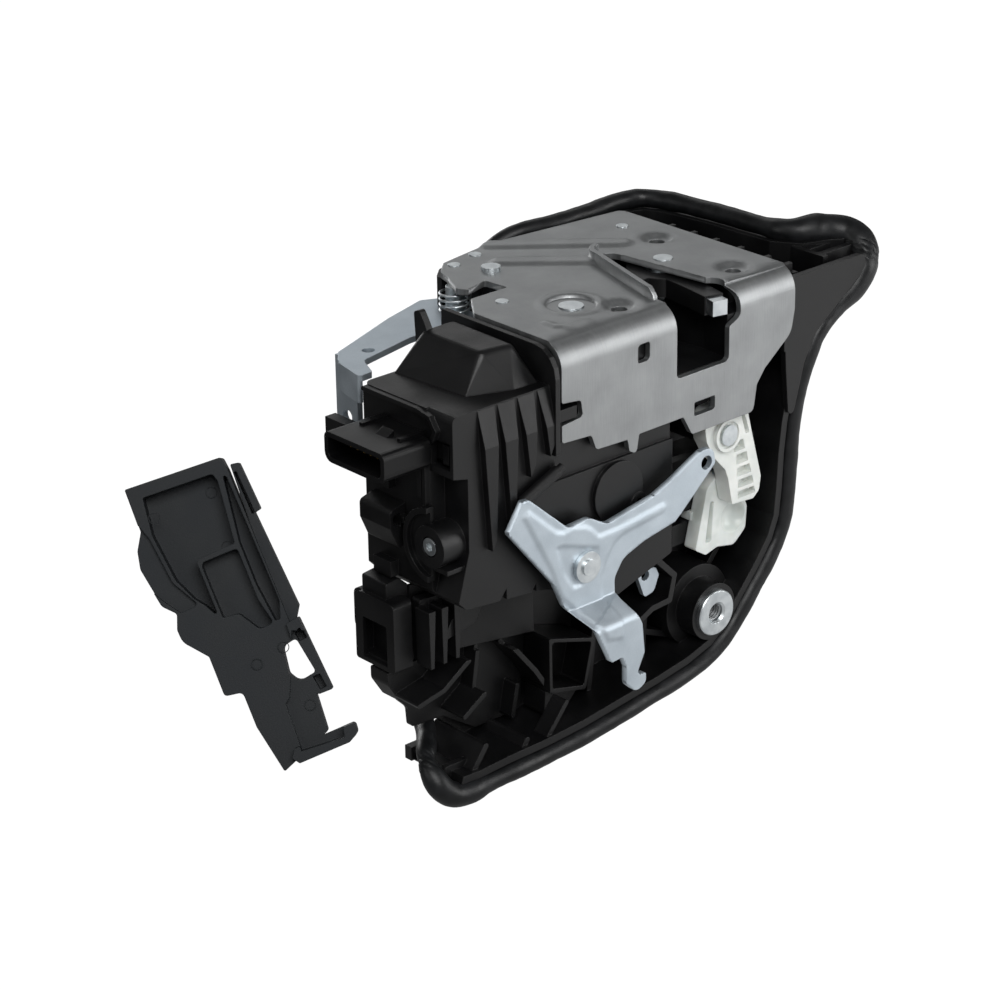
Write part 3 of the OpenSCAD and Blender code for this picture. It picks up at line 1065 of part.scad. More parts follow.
module outer_lever_spring() color("#9aa0a5") {
  translate([outer_pin_at[0], outer_pin_at[1], -10.4]) tube(coil(4.9, 1.8, 4, 20), spring_wire, 6);
}

// Box below the actuator, open to the front
low_front = 14;
low_back = 27.5;
low_edge = [
  [-107.5, -99.6, 0.5], [-107.5, -103.5, 3], [-103, -110.5, 6], [-99.5, -114, 3], [-99, -120.6, 1.5],
  [-86, -121.4, 1], [-73, -130, 1.5], [-54, -130, 2], [-53.6, -119.5, 2], [-52, -104, 1], [-89, -98.5,
  0.8]];

module lower_case() color("#1f1f21") difference() {
  union() {
    prism_y(low_edge, low_front, low_back);
    prism_y([[-107.5, -99.6, 0.5], [-107.5, -103.5, 3], [-103, -110.5, 2], [-97, -112.8, 0], [-97, -99.3,
        0]],
            low_back - 1, low_back + 6);
    prism_y([[-98, -76.6, 1], [-67, -79.7, 0.5], [-52, -84.8, 1], [-52, -105, 0], [-90, -101, 0], [-98,
        -101, 0]], 21, 24.5);
    // Catches on the left of the module
    for (x = [-99.5, -94.5, -89.5])
      prism_y([[x, -78.5, 0.4], [x + 2.6, -78.5, 0.4], [x + 1.6, -99, 0.4], [x + 0.4, -99, 0.4]], 15, 21.5);
    prism_y([[-86, -79, 1], [-76, -79.6, 1], [-80, -88, 2], [-94, -90.5, 1]], 16, 21.5);
    // Wall behind, up to the actuator
    prism_y([[-act_left + 2.8, -103, 0], [-act_left + 2.8, -73.8, 0], [-84, -76.2, 0], [-84, -103, 0]],
        low_back - 1, carrier_back - 3.2);
    // Posts that rest on the carrier
    for (q = [[-80, -110], [-60, -110], [-66, -124]]) bar_y(q[0], q[1], 3, low_back - 1,
        carrier_back - 3.05);
  }
  difference() {
    prism_y(inset(low_edge, 1.7), low_front - 1, low_back - 2);
    // Ribs inside
    translate([0, low_back, 0]) rotate([90, 0, 0]) linear_extrude(low_back - low_front - 1) {
      arm([-104, -108], [-94, -106], 0.8);
      arm([-94, -106], [-84, -99.5], 0.8);
      arm([-66, -101], [-57, -112], 0.8);
      arm([-57, -112], [-53, -118], 0.8);
      arm([-86, -118], [-78, -113], 0.8);
    }
    translate([0, low_back, 0]) rotate([90, 0, 0]) linear_extrude(low_back - low_front - 6) {
      arm([-78, -113], [-76, -99.5], 0.8);
      arm([-62, -128], [-60, -118], 0.8);
    }
  }
}

// Pocket for the end of the release cable
module cable_box() color("#2c2d30") difference() {
  union() {
    prism_y([[-52, -102.6, 0.5], [-32.5, -108.6, 1], [-36.5, -125.2, 1], [-51.8, -121.6, 0.5]], low_front,
        low_back);
    prism_y([[-52, -121.6, 0], [-38, -124.6, 0.5], [-42, -128.5, 1], [-52.6, -129.6, 0.5]], low_front + 2,
        low_back - 2);
    bar_y(-43, -115, 3, low_back - 1, carrier_back - 3.05);
  }
  prism_y([[-50.9, -104.1, 1], [-34, -109.4, 1], [-37.4, -123.6, 1], [-50.7, -120.3, 1]], low_front - 1,
      low_back - 3);
}

// Box on the left, above the lower case
module side_box() color("#26272a") difference() {
  union() {
    prism_x([[22, -76, 1.5], [40, -76, 3], [40, -98.8, 1], [22, -98.8, 1]], -act_left - 7.5,
        -act_left - 0.3);
    prism_x([[36, -77, 2], [43.5, -77, 2.5], [43.5, -91, 2.5], [36, -91, 1]], -act_left - 5,
        -act_left - 0.5);
    block([-act_left - 1, -act_left + 2.4], [28, 38], [-98, -79]);
    prism_y([[-act_left - 6, -79, 0], [-act_left - 6, -71, 0.6], [-act_left - 1.5, -70.5, 0],
        [-act_left - 0.5, -70.6, 0],
             [-act_left + 2.3, -73.2, 0], [-act_left + 2.3, -79, 0]], 27, 38);
  }
  block([-act_left - 6, -act_left - 2], [23.6, 38.4], [-97, -77.6]);
  block([-act_left - 9, -act_left - 5.5], [25.4, 36.6], [-97.4, -84]);
}

// Clip for the wiring on the left of the case
module cable_clip() color("#222325") difference() {
  union() {
    prism_y([[-act_left - 6, -46.5, 1.5], [-act_left - 0.1, -45, 0], [-act_left - 0.1, -57, 0],
        [-act_left - 2.5, -60, 2],
             [-act_left - 6, -52, 1]], 24, 38);
    block([-act_left - 2.4, -act_left - 0.1], [22, 40], [-50.5, -48.5]);
  }
  prism_y([[-act_left - 4.8, -48.2, 0.8], [-act_left - 2, -47.6, 0.5], [-act_left - 2, -52.5, 0.5],
           [-act_left - 4.8, -50.8, 0.5]], 23, 39);
}

// Loose cover, drawn flat and then turned to lie beside the module
cover_edge = [
  [-34.8, 36.7, 0.5], [-5.8, 46.1, 1], [-3.9, 42.4, 1], [14.2, -4.2, 1], [15.5, -5, 0], [22.1, -27.3, 1],
  [24.8, -36.4, 1],
  [11.8, -48.2, 0.5], [3.6, -34.8, 1], [-0.4, -24.4, 1.5], [-5.8, -25.5, 1.2], [-10.3, -13.6, 1],
  [-18.2, -9.1, 5], [-19.7, -5.5, 2], [-19.7, -0.6, 1.2], [-24.2, 1.6, 3], [-30.6, 12.7, 3],
  [-31.4, 18.2, 3], [-30.3, 24, 1]];
cover_k = cover_w / 31;
module cover_prism(p, y0, y1) prism_y([for (q = p) [q[0] * cover_k, q[1] * cover_k,
    len(q) > 2 ? q[2] : 0]], y0, y1);

module flat_cover() difference() {
  union() {
    cover_prism(cover_edge, -cover_d, 0);
    // Rails along the right edge
    cover_prism([[-3.3, 43.9, 0.5], [-0.6, 44.4, 0.5], [5.6, 30.5, 0.5], [3.9, 29.4, 0.3], [16.6, 1.4,
        0.5], [15.6, -3.4, 0.5],
                 [12, -3.4, 0]], -cover_d + 1.5, -1);
    // Frame of the catch at the right
    cover_prism([[13, -4, 0], [16.5, -2, 0.5], [26.5, -23.8, 0.5], [22.5, -25.3, 0.5], [20, -25, 0]],
        -cover_d - 2, -1);
    // Hook at the lower right
    cover_prism([[14.2, -44, 0.6], [15, -41.2, 0.5], [33, -33.6, 1], [33.9, -36.8, 1.5], [31.5, -39.5, 1],
        [16.5, -45.6, 0.5]],
                -cover_d - 3, -cover_d + 6);
  }
  // Hollow of the upper half
  cover_prism([[-29.4, 34.2, 0.5], [-8.5, 41.1, 1], [-6.9, 39, 1], [-2.1, 20.3, 0.5], [-13.8, 15.4, 1.5],
      [-7, -2, 0.5],
               [-11, 1.6, 0.5], [-14.5, 3.8, 2], [-20, 9.4, 4], [-26.8, 23, 4]], -cover_d - 1, -cover_wall);
  // Second hollow below it
  cover_prism([[-12.4, 14.4, 1.5], [-1.4, 18.8, 1], [4.6, 3.4, 2], [9.2, -3.6, 1], [5, -5.6, 2], [-1.2,
      -0.8, 2],
               [-6, -2, 0.5]], -cover_d - 1, -cover_wall - 1.6);
  // Groove beside the rails
  cover_prism([[-5.4, 40.6, 0.5], [-4.2, 40.2, 0.5], [11, 3, 3], [11.2, -2.6, 0.5], [9.6, -3, 0.5], [4, 8,
      3], [-0.8, 20.6, 2]],
              -cover_d - 1, -cover_wall - 0.4);
  cover_prism([[-2.2, 41.6, 0.3], [-1.4, 41.8, 0.3], [4, 29.5, 0.3], [3.2, 28.8, 0.3]], -cover_d - 1, -2.2);
  // Window of the catch
  cover_prism([[11.6, -11, 2], [15.6, -8.6, 1], [21.4, -18.6, 1], [16.4, -21.6, 3], [13.4, -19, 2]],
      -cover_d - 3, 1);
  cover_prism([[17, -5, 0.3], [19, -8.3, 0.3], [16.6, -9.4, 0.3], [15.2, -7, 0.3]], -cover_d - 3, -3);
  cover_prism([[20.4, -20, 0.3], [22.6, -19.2, 0.3], [24.6, -23, 0.3], [22.6, -24, 0.3]], -cover_d - 3, -3);
  // Lower right edge lies deeper
  cover_prism([[14.6, -6, 0], [26, -6, 0], [30, -38, 0], [17, -42, 0], [12.4, -28, 0], [13.6, -26, 0]],
      -cover_d - 4, -cover_d + 2.4);
  cover_prism([[-34, 12, 0], [-24, 3.4, 1], [-18.5, -0.4, 1], [-13, 2, 1], [-20.8, 8.6, 4], [-27.6, 22,
      3], [-31, 26, 0],
               [-34, 26, 0]], -cover_d - 1, -cover_d + 1.6);
}
cover_at = [-132.4, 61.9, -82.6];
module loose_cover() color("#4b5055")
  translate(cover_at) rotate([0, 0, -41.5]) rotate([-23.5, 0, 0]) flat_cover();

face_plate();
plate_rivets();
back_plate();
latch_housing();
claw();
claw_jacket();
claw_pin();
claw_spring();
pawl();
pawl_pin();
pawl_spring();
slam_bumper();
retaining_clip();
carrier();
foam_seal();
threaded_insert();
actuator_case();
actuator_cap();
connector_shroud();
connector_pins();
case_screws();
motor();
motor_worm();
worm_wheel();
wheel_axle();
microswitches();
release_lever();
release_lever_pin();
link_rod();
pull_tab();
lock_lever();
lock_lever_pin();
lock_slider();
outer_lever();
outer_lever_pin();
outer_lever_spring();
lower_case();
cable_box();
side_box();
cable_clip();
loose_cover();
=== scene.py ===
"""Dresses the car door lock: its finishes, pressed plate and lever, threaded insert, springs, foam seal
and the studio around it."""

import json
import math

import bmesh
import bpy
from mathutils import Matrix, Vector, noise

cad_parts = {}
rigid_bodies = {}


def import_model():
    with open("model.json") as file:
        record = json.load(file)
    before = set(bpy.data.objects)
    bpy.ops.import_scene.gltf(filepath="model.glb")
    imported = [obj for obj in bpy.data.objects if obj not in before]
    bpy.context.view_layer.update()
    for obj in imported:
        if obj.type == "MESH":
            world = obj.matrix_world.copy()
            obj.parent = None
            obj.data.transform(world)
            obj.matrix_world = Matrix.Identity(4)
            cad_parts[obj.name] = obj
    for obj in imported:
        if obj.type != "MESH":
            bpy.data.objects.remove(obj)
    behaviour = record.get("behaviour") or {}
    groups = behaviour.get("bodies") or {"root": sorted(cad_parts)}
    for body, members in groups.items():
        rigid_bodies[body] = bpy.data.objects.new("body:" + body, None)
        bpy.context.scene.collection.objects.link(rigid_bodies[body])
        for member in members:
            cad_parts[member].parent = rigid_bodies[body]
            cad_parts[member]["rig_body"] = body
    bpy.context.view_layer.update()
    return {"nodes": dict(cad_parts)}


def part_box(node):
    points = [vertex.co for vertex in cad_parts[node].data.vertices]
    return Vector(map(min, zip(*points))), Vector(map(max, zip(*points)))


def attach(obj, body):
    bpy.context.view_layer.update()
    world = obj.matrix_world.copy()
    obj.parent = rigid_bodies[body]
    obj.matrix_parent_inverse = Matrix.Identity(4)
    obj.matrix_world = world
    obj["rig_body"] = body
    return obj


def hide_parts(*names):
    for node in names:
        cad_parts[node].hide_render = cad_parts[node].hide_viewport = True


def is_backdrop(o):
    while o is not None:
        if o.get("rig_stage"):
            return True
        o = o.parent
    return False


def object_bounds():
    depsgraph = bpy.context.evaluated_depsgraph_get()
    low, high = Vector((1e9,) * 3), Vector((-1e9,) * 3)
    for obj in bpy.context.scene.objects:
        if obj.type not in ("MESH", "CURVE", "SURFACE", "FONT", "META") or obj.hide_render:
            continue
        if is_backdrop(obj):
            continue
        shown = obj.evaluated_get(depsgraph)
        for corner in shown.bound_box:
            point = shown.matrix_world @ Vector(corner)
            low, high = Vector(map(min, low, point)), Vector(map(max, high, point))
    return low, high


bl_info = {
    "name": "Car door lock",
    "version": (1, 0, 0),
    "blender": (4, 5, 0),
    "location": "View3D > Sidebar > Door lock",
    "description": "Finishes and fine forms of a car door latch with its power-lock actuator",
    "category": "Object",
}

MM = 0.001

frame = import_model()
NODES = frame["nodes"]
NODE_BODY = {name: piece["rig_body"] for name, piece in NODES.items()}


# Colours and node helpers


def linear(hex_colour):
    """The linear colour of an sRGB hex value."""
    parts = [int(hex_colour[i:i + 2], 16) / 255 for i in (1, 3, 5)]
    return [c / 12.92 if c <= 0.04045 else ((c + 0.055) / 1.055) ** 2.4 for c in parts] + [1]


def add(tree, kind, inputs=None, **settings):
    """Adds a shader node, sets its settings, and sets or links its inputs."""
    made = tree.nodes.new(kind)
    for name, value in settings.items():
        setattr(made, name, value)
    for socket, value in (inputs or {}).items():
        if isinstance(value, bpy.types.NodeSocket):
            tree.links.new(value, made.inputs[socket])
        else:
            made.inputs[socket].default_value = value
    return made


def per_mm(size_mm):
    """Texture scale whose cells are about this many millimetres across."""
    return 1 / (size_mm * MM)


def new_material(name):
    """A material's empty node tree, and the place in space that its patterns start from."""
    material = bpy.data.materials.new(name)
    material.use_nodes = True
    tree = material.node_tree
    tree.nodes.clear()
    place = add(tree, "ShaderNodeTexCoord").outputs["Object"]
    return tree, place


def ramp(tree, value, low, high, start=0.0, end=1.0):
    """Two colours or greys mixed by a value between start and end."""
    span = add(tree, "ShaderNodeMapRange", {0: value, 1: start, 2: end})
    mix = add(tree, "ShaderNodeMix", {0: span.outputs[0], 6: low, 7: high}, data_type="RGBA")
    return mix.outputs[2]


def finish_with(tree, colour, roughness, bump, metallic=0.0, edge_mm=0.25, bump_mm=0.02, **fixed):
    """Principled surface with rounded edges in its shading and a fine bump on top of them."""
    edge = add(tree, "ShaderNodeBevel", {"Radius": edge_mm * MM}, samples=4)
    height = add(tree, "ShaderNodeBump",
                 {"Height": bump, "Normal": edge.outputs[0], "Distance": bump_mm * MM})
    values = {"Base Color": colour, "Roughness": roughness, "Normal": height.outputs[0],
              "Metallic": metallic}
    values.update({name.replace("_", " "): value for name, value in fixed.items()})
    shader = add(tree, "ShaderNodeBsdfPrincipled", values)
    add(tree, "ShaderNodeOutputMaterial", {"Surface": shader.outputs[0]})


def grey(value):
    """A colour that carries one number, such as a roughness."""
    return [value, value, value, 1]


def noise_of(tree, place, size_mm, detail=3.0, stretch=None):
    """Noise with cells of this size, drawn out along an axis where stretch is given."""
    if stretch:
        place = add(tree, "ShaderNodeVectorMath", {0: place, 1: stretch}, operation="MULTIPLY").outputs[0]
    values = {"Vector": place, "Scale": per_mm(size_mm), "Detail": detail}
    return add(tree, "ShaderNodeTexNoise", values).outputs[0]


def plus(tree, a, b, share):
    """a plus b times share."""
    return add(tree, "ShaderNodeMath", {0: b, 1: share, 2: a}, operation="MULTIPLY_ADD").outputs[0]


# Finishes


def satin_steel_sheet(colours):
    """Cold-rolled steel, pressed and left satin: broad reflections, faint drawing streaks, few stains."""
    tree, place = new_material("satin_steel_sheet")
    stains = noise_of(tree, place, size_mm=14)
    grain = noise_of(tree, place, size_mm=0.4, detail=2)
    # Streaks are really some 0.05 mm wide, drawn at 0.4 mm so that they show
    streaks = noise_of(tree, place, size_mm=2.4, stretch=(6, 1, 0.3))
    marks = plus(tree, stains, streaks, share=0.7)
    colour = ramp(tree, marks, linear(colours.steel_dark), linear(colours.steel), start=0.6, end=1.1)
    wear = plus(tree, streaks, grain, share=0.4)
    rough = ramp(tree, wear, grey(0.44), grey(0.56), start=0.45, end=0.95)
    relief = plus(tree, grain, streaks, share=0.5)
    finish_with(tree, colour, rough, relief, metallic=1.0, edge_mm=0.3, bump_mm=0.008)


def bright_zinc(colours):
    """Zinc-plated steel, turned or headed: bright and even, with faint clouding."""
    tree, place = new_material("bright_zinc")
    cloud = noise_of(tree, place, size_mm=3)
    colour = ramp(tree, cloud, linear(colours.zinc_dark), linear(colours.zinc), start=0.35, end=0.65)
    rough = ramp(tree, cloud, grey(0.3), grey(0.4), start=0.35, end=0.65)
    grain = noise_of(tree, place, size_mm=0.3, detail=2)
    finish_with(tree, colour, rough, grain, metallic=1.0, bump_mm=0.003)


def zinc_pressing(colours):
    """Zinc-plated steel, pressed: pale, slightly blue, with a fine crystalline grain."""
    tree, place = new_material("zinc_pressing")
    cloud = noise_of(tree, place, size_mm=8)
    grain = noise_of(tree, place, size_mm=0.5)
    both = plus(tree, cloud, grain, share=0.5)
    colour = ramp(tree, both, linear(colours.lever_dark), linear(colours.lever), start=0.5)
    rough = ramp(tree, both, grey(0.5), grey(0.6), start=0.5)
    finish_with(tree, colour, rough, grain, metallic=1.0, edge_mm=0.3, bump_mm=0.008)


def dark_moulding(name, tone, darker, rough, grain_mm, bump_mm, sheen):
    """A dark plastic with the flow marks of its moulding and the fine grain of an eroded mould."""
    tree, place = new_material(name)
    flow = noise_of(tree, place, size_mm=14)
    grain = noise_of(tree, place, grain_mm, detail=2)
    tint = plus(tree, flow, grain, share=0.3)
    colour = ramp(tree, tint, linear(darker), linear(tone), start=0.45, end=0.85)
    wear = plus(tree, flow, grain, share=0.4)
    roughness = ramp(tree, wear, grey(rough[0]), grey(rough[1]), start=0.5, end=0.9)
    finish_with(tree, colour, roughness, grain, edge_mm=0.35, bump_mm=bump_mm, IOR=1.5,
                Specular_IOR_Level=sheen)


def black_nylon(colours):
    """Glass-filled nylon, moulded: black, with a soft sheen and flow marks."""
    dark_moulding("black_nylon", colours.plastic, colours.plastic_dark, rough=(0.34, 0.5), grain_mm=0.35,
                  bump_mm=0.02, sheen=0.4)


def connector_plastic(colours):
    """Polybutylene terephthalate, moulded in a smoother mould: black and even."""
    dark_moulding("connector_plastic", colours.plastic, colours.plastic_dark, rough=(0.32, 0.42),
                  grain_mm=0.5, bump_mm=0.01, sheen=0.26)


def jacket_plastic(colours):
    """Polyester elastomer, moulded round steel: black and a little softer in its sheen."""
    dark_moulding("jacket_plastic", colours.plastic, colours.plastic_dark, rough=(0.42, 0.55),
                  grain_mm=0.3, bump_mm=0.01, sheen=0.4)


def grey_polypropylene(colours):
    """Filled polypropylene, moulded: dark grey and matt, with a coarser grain."""
    dark_moulding("grey_polypropylene", colours.cover, colours.cover_dark, rough=(0.5, 0.62), grain_mm=0.35,
                  bump_mm=0.03, sheen=0.32)


def foam_rubber(colours):
    """Closed-cell rubber foam: matt with a soft skin, fine pores and small creases."""
    tree, place = new_material("foam_rubber")
    pores = add(tree, "ShaderNodeTexVoronoi", {"Vector": place, "Scale": per_mm(size_mm=0.7)}).outputs[0]
    skin = noise_of(tree, place, size_mm=5, detail=4)
    colour = ramp(tree, skin, linear(colours.foam_dark), linear(colours.foam), start=0.35, end=0.7)
    rough = ramp(tree, skin, grey(0.36), grey(0.5), start=0.35, end=0.7)
    creases = plus(tree, skin, pores, share=0.1)
    finish_with(tree, colour, rough, creases, edge_mm=0.3, bump_mm=0.1, IOR=1.5, Specular_IOR_Level=0.34)


def waxy_moulding(name, tone, darker, see_through):
    """Unfilled acetal, moulded: waxy, light passes a little way in."""
    tree, place = new_material(name)
    cloud = noise_of(tree, place, size_mm=7, detail=2)
    colour = ramp(tree, cloud, linear(darker), linear(tone), start=0.35, end=0.65)
    rough = ramp(tree, cloud, grey(0.3), grey(0.42), start=0.35, end=0.65)
    finish_with(tree, colour, rough, cloud, edge_mm=0.35, bump_mm=0.01, IOR=1.48,
                Subsurface_Weight=see_through, Subsurface_Scale=0.004, Subsurface_Radius=(1, 0.9, 0.8))


def white_acetal(colours):
    """White acetal, moulded: nearly opaque."""
    waxy_moulding("white_acetal", colours.acetal, colours.acetal_dark, see_through=0.15)


def natural_acetal(colours):
    """Natural acetal, moulded without pigment: milky and see-through at its edges."""
    waxy_moulding("natural_acetal", colours.natural, colours.natural_dark, see_through=0.45)


def turned_brass(colours):
    """Turned brass of the worm and the contacts: warm and bright."""
    tree, place = new_material("turned_brass")
    spots = noise_of(tree, place, size_mm=1)
    colour = ramp(tree, spots, linear(colours.brass_dark), linear(colours.brass), start=0.3, end=0.7)
    rough = ramp(tree, spots, grey(0.22), grey(0.34), start=0.3, end=0.7)
    finish_with(tree, colour, rough, spots, metallic=1.0, edge_mm=0.15, bump_mm=0.01)


# The CAD nodes that keep their own mesh, by finish
FINISH_OF = {
    "bright_zinc": ["plate_rivets", "claw_pin", "pawl_pin", "claw", "case_screws", "release_lever_pin",
                    "lock_lever_pin", "outer_lever_pin", "wheel_axle"],
    "zinc_pressing": ["pull_tab", "outer_lever", "back_plate", "motor", "retaining_clip", "pawl"],
    "black_nylon": ["latch_housing", "carrier", "actuator_cap", "actuator_case", "lower_case", "cable_box",
                    "side_box", "cable_clip", "microswitches"],
    "connector_plastic": ["connector_shroud"],
    "jacket_plastic": ["claw_jacket", "slam_bumper", "link_rod"],
    "white_acetal": ["lock_lever", "worm_wheel"],
    "natural_acetal": ["lock_slider"],
    "turned_brass": ["motor_worm", "connector_pins"],
    "grey_polypropylene": ["loose_cover"],
}

MAKERS = [satin_steel_sheet, bright_zinc, zinc_pressing, black_nylon, connector_plastic, jacket_plastic,
          grey_polypropylene, foam_rubber, white_acetal, natural_acetal, turned_brass]


def finishes():
    """Every finish by name, made once."""
    if satin_steel_sheet.__name__ not in bpy.data.materials:
        for make in MAKERS:
            make(bpy.context.scene.door_lock_colours)
    return bpy.data.materials


def paint(piece, finish):
    """Gives a piece one finish all over."""
    piece.data.materials.clear()
    piece.data.materials.append(finishes()[finish])


def paint_nodes(*finish_names):
    """Gives the CAD nodes of these finishes their material."""
    for finish in finish_names:
        for name in FINISH_OF[finish]:
            paint(NODES[name], finish)


# Meshes

# Points closer than this are one point
SAME_POINT = 0.001 * MM
# A cut goes through the points that lie this near to it, in metres
ON_CUT = 1e-7
# Faces that lean less than this from each other are one flat face
FLAT = math.radians(1)


def mesh_of(node):
    """A copy of a node's mesh, with its vertices joined along the edges."""
    made = bmesh.new()
    made.from_mesh(NODES[node].data)
    bmesh.ops.remove_doubles(made, verts=made.verts, dist=SAME_POINT)
    return made


def piece_from(made, name, finish, body, *stands_for, smooth_angle=30):
    """An object from a bmesh, shaded smooth up to an angle, painted and set on its body."""
    data = bpy.data.meshes.new(name)
    made.to_mesh(data)
    made.free()
    data.shade_smooth()
    data.set_sharp_from_angle(angle=math.radians(smooth_angle))
    piece = bpy.data.objects.new(name, data)
    bpy.context.scene.collection.objects.link(piece)
    paint(piece, finish)
    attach(piece, body)
    if stands_for:
        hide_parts(*stands_for)
    return piece


def subdivided(made, rounds):
    """The bmesh after so many rounds of Catmull-Clark subdivision."""
    data = bpy.data.meshes.new("rounding")
    made.to_mesh(data)
    made.free()
    helper = bpy.data.objects.new("rounding", data)
    bpy.context.scene.collection.objects.link(helper)
    modifier = helper.modifiers.new("round", "SUBSURF")
    modifier.levels = rounds
    modifier.render_levels = rounds
    bpy.context.view_layer.update()
    shown = helper.evaluated_get(bpy.context.evaluated_depsgraph_get())
    result = bmesh.new()
    result.from_mesh(shown.to_mesh())
    shown.to_mesh_clear()
    bpy.data.objects.remove(helper)
    bpy.data.meshes.remove(data)
    return result


def rounded_tube(node, name, finish, swell, rounds=2):
    """A swept tube of flat sides turned into a round one, swollen back to its size."""
    made = mesh_of(node)
    bmesh.ops.join_triangles(made, faces=made.faces, angle_face_threshold=0.7, angle_shape_threshold=0.8)
    made = subdivided(made, rounds)
    made.normal_update()
    for vertex in made.verts:
        vertex.co += vertex.normal * swell(vertex.co) * MM
    return piece_from(made, name, finish, NODE_BODY[node], node, smooth_angle=60)


def hump(distance, radius, soft):
    """1 inside a radius, falling smoothly to 0 over the soft width outside it."""
    t = min(max((radius + soft - distance) / soft, 0), 1)
    return t * t * (3 - 2 * t)


def to_segment(p, a, b):
    """Distance from a point to the line between a and b, in the plane."""
    line = b - a
    t = min(max((p - a).dot(line) / line.length_squared, 0), 1)
    return (p - a - line * t).length


def flattened(made, axis, level, reach):
    """Presses shallow CAD relief flat: points up to reach millimetres from the level go onto it."""
    for vertex in made.verts:
        if 0 < abs(vertex.co[axis] - level * MM) < reach * MM:
            vertex.co[axis] = level * MM
    bmesh.ops.remove_doubles(made, verts=made.verts, dist=SAME_POINT)
    bmesh.ops.dissolve_degenerate(made, edges=made.edges, dist=SAME_POINT)
    made.normal_update()
    bmesh.ops.dissolve_limit(made, angle_limit=FLAT, verts=made.verts, edges=made.edges)
    made.normal_update()


def sliced(made, chosen, cuts, step):
    """Cuts the chosen faces into a grid, along each axis from start to end, all in millimetres."""
    for axis, start, end in cuts:
        normal = Vector([float(axis == i) for i in range(3)])
        for i in range(1, int((end - start) / step)):
            faces = [f for f in made.faces if chosen(f)]
            edges = list({e for f in faces for e in f.edges})
            corners = list({v for f in faces for v in f.verts})
            bmesh.ops.bisect_plane(made, geom=faces + edges + corners, dist=ON_CUT,
                                   plane_co=normal * (start + i * step) * MM, plane_no=normal)
    return {v for f in made.faces if chosen(f) for v in f.verts}


def inside(p, outline):
    """Whether a point lies inside an outline."""
    found = False
    for a, b in zip(outline, outline[1:] + outline[:1]):
        if (a.y > p.y) != (b.y > p.y) and p.x < a.x + (b.x - a.x) * (p.y - a.y) / (b.y - a.y):
            found = not found
    return found


def panel(p, outline, soft):
    """1 inside an outline and 0 outside, with a smooth step of this width along it."""
    edge = min(to_segment(p, a, b) for a, b in zip(outline, outline[1:] + outline[:1]))
    t = min(max(0.5 + (edge if inside(p, outline) else -edge) / soft, 0), 1)
    return t * t * (3 - 2 * t)


def points(*pairs):
    """An outline in the plane, from pairs of numbers."""
    return [Vector(pair) for pair in pairs]


# Pressed plate, in millimetres

# Beads from end to end, each with its half width, its slope's width and its height
BEADS = [
    (Vector((-22, 67)), Vector((2, 45)), 1.8, 3.2, 1.0),
    (Vector((-14, 81)), Vector((17, 54)), 1.8, 3.2, 1.0),
    (Vector((-49.2, 17)), Vector((-49.2, 12.8)), 0.5, 1.5, 0.6),
    (Vector((-49.2, 12.8)), Vector((-45.4, 9.4)), 0.5, 1.5, 0.6),
    (Vector((-45.4, 9.4)), Vector((-39.5, 10.2)), 0.5, 1.5, 0.6),
]
# The ring pressed up round the pawl's rivet
RING_AT = Vector((-32.7, 24.0))
RING_OUT = 9.8
RING_OUT_SLOPE = 1.6
RING_IN = 8.6
RING_IN_SLOPE = 1
RING_HEIGHT = 0.4
# The dishes round the three fixing screws
DISHES = [Vector((29.5, 50.3)), Vector((26.9, 14)), Vector((-22.3, 13.9))]
DISH_RADIUS = 3.2
DISH_SLOPE = 4.0
DISH_DEPTH = 0.8
# The top is flat from here on, behind the bend, and its faces look up and lie this near to zero
BEND_END = 9.3
LOOKS_UP = 0.99
NEAR_TOP = 0.02
PLATE_GRID = 0.9
# The CAD relief that the soft one takes the place of is lower than this
PLATE_CAD_RELIEF = 0.6


def plate_relief(p):
    """Height of the pressed relief in millimetres at a point of the plate's top."""
    beads = max(h * hump(to_segment(p, a, b), r, soft) for a, b, r, soft, h in BEADS)
    out = (p - RING_AT).length
    ring = RING_HEIGHT * hump(out, RING_OUT, RING_OUT_SLOPE)
    ring *= 1 - hump(out, RING_IN - RING_IN_SLOPE, RING_IN_SLOPE)
    dish = DISH_DEPTH * max(hump((p - at).length, DISH_RADIUS, DISH_SLOPE) for at in DISHES)
    return max(beads, ring) - dish


def pressed_plate():
    """The face plate with its beads pressed softly out of the sheet."""
    made = mesh_of("face_plate")
    flattened(made, 2, 0, PLATE_CAD_RELIEF)
    low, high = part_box("face_plate")

    def on_top(face):
        return face.normal.z > LOOKS_UP and abs(face.calc_center_median().z) < NEAR_TOP * MM

    cuts = ((0, low.x / MM, high.x / MM), (1, BEND_END, high.y / MM))
    for vertex in sliced(made, on_top, cuts, PLATE_GRID):
        vertex.co.z += plate_relief(Vector((vertex.co.x, vertex.co.y)) / MM) * MM
    return piece_from(made, "pressed_face_plate", "satin_steel_sheet", NODE_BODY["face_plate"],
                      "face_plate")


# Pressed release lever, across and up, in millimetres

LEVER_PANEL = points(
    (-78.4, -47.6), (-76.4, -46.4), (-65.6, -56.2), (-62.5, -57.4), (-58.9, -56.7), (-53.6, -58),
    (-51, -59.7), (-48.1, -62.9), (-40.5, -62.9), (-20.9, -60.6), (-19.8, -61.8), (-20.5, -63.2),
    (-37.8, -65.2), (-41.5, -66.9), (-44.4, -70.7), (-47.4, -76.7), (-47.1, -81.6), (-45.2, -88.2),
    (-45.6, -95), (-51.8, -93.8), (-54.5, -88.6), (-59.7, -82.3), (-63.6, -78.4), (-67.4, -68.2))
LEVER_TRIANGLE = points(
    (-65.6, -61.6), (-63, -61.6), (-48.6, -66.6), (-48.8, -69), (-55.3, -76.6), (-58.6, -76.6),
    (-62.6, -70.8))
LEVER_FRONT = -4
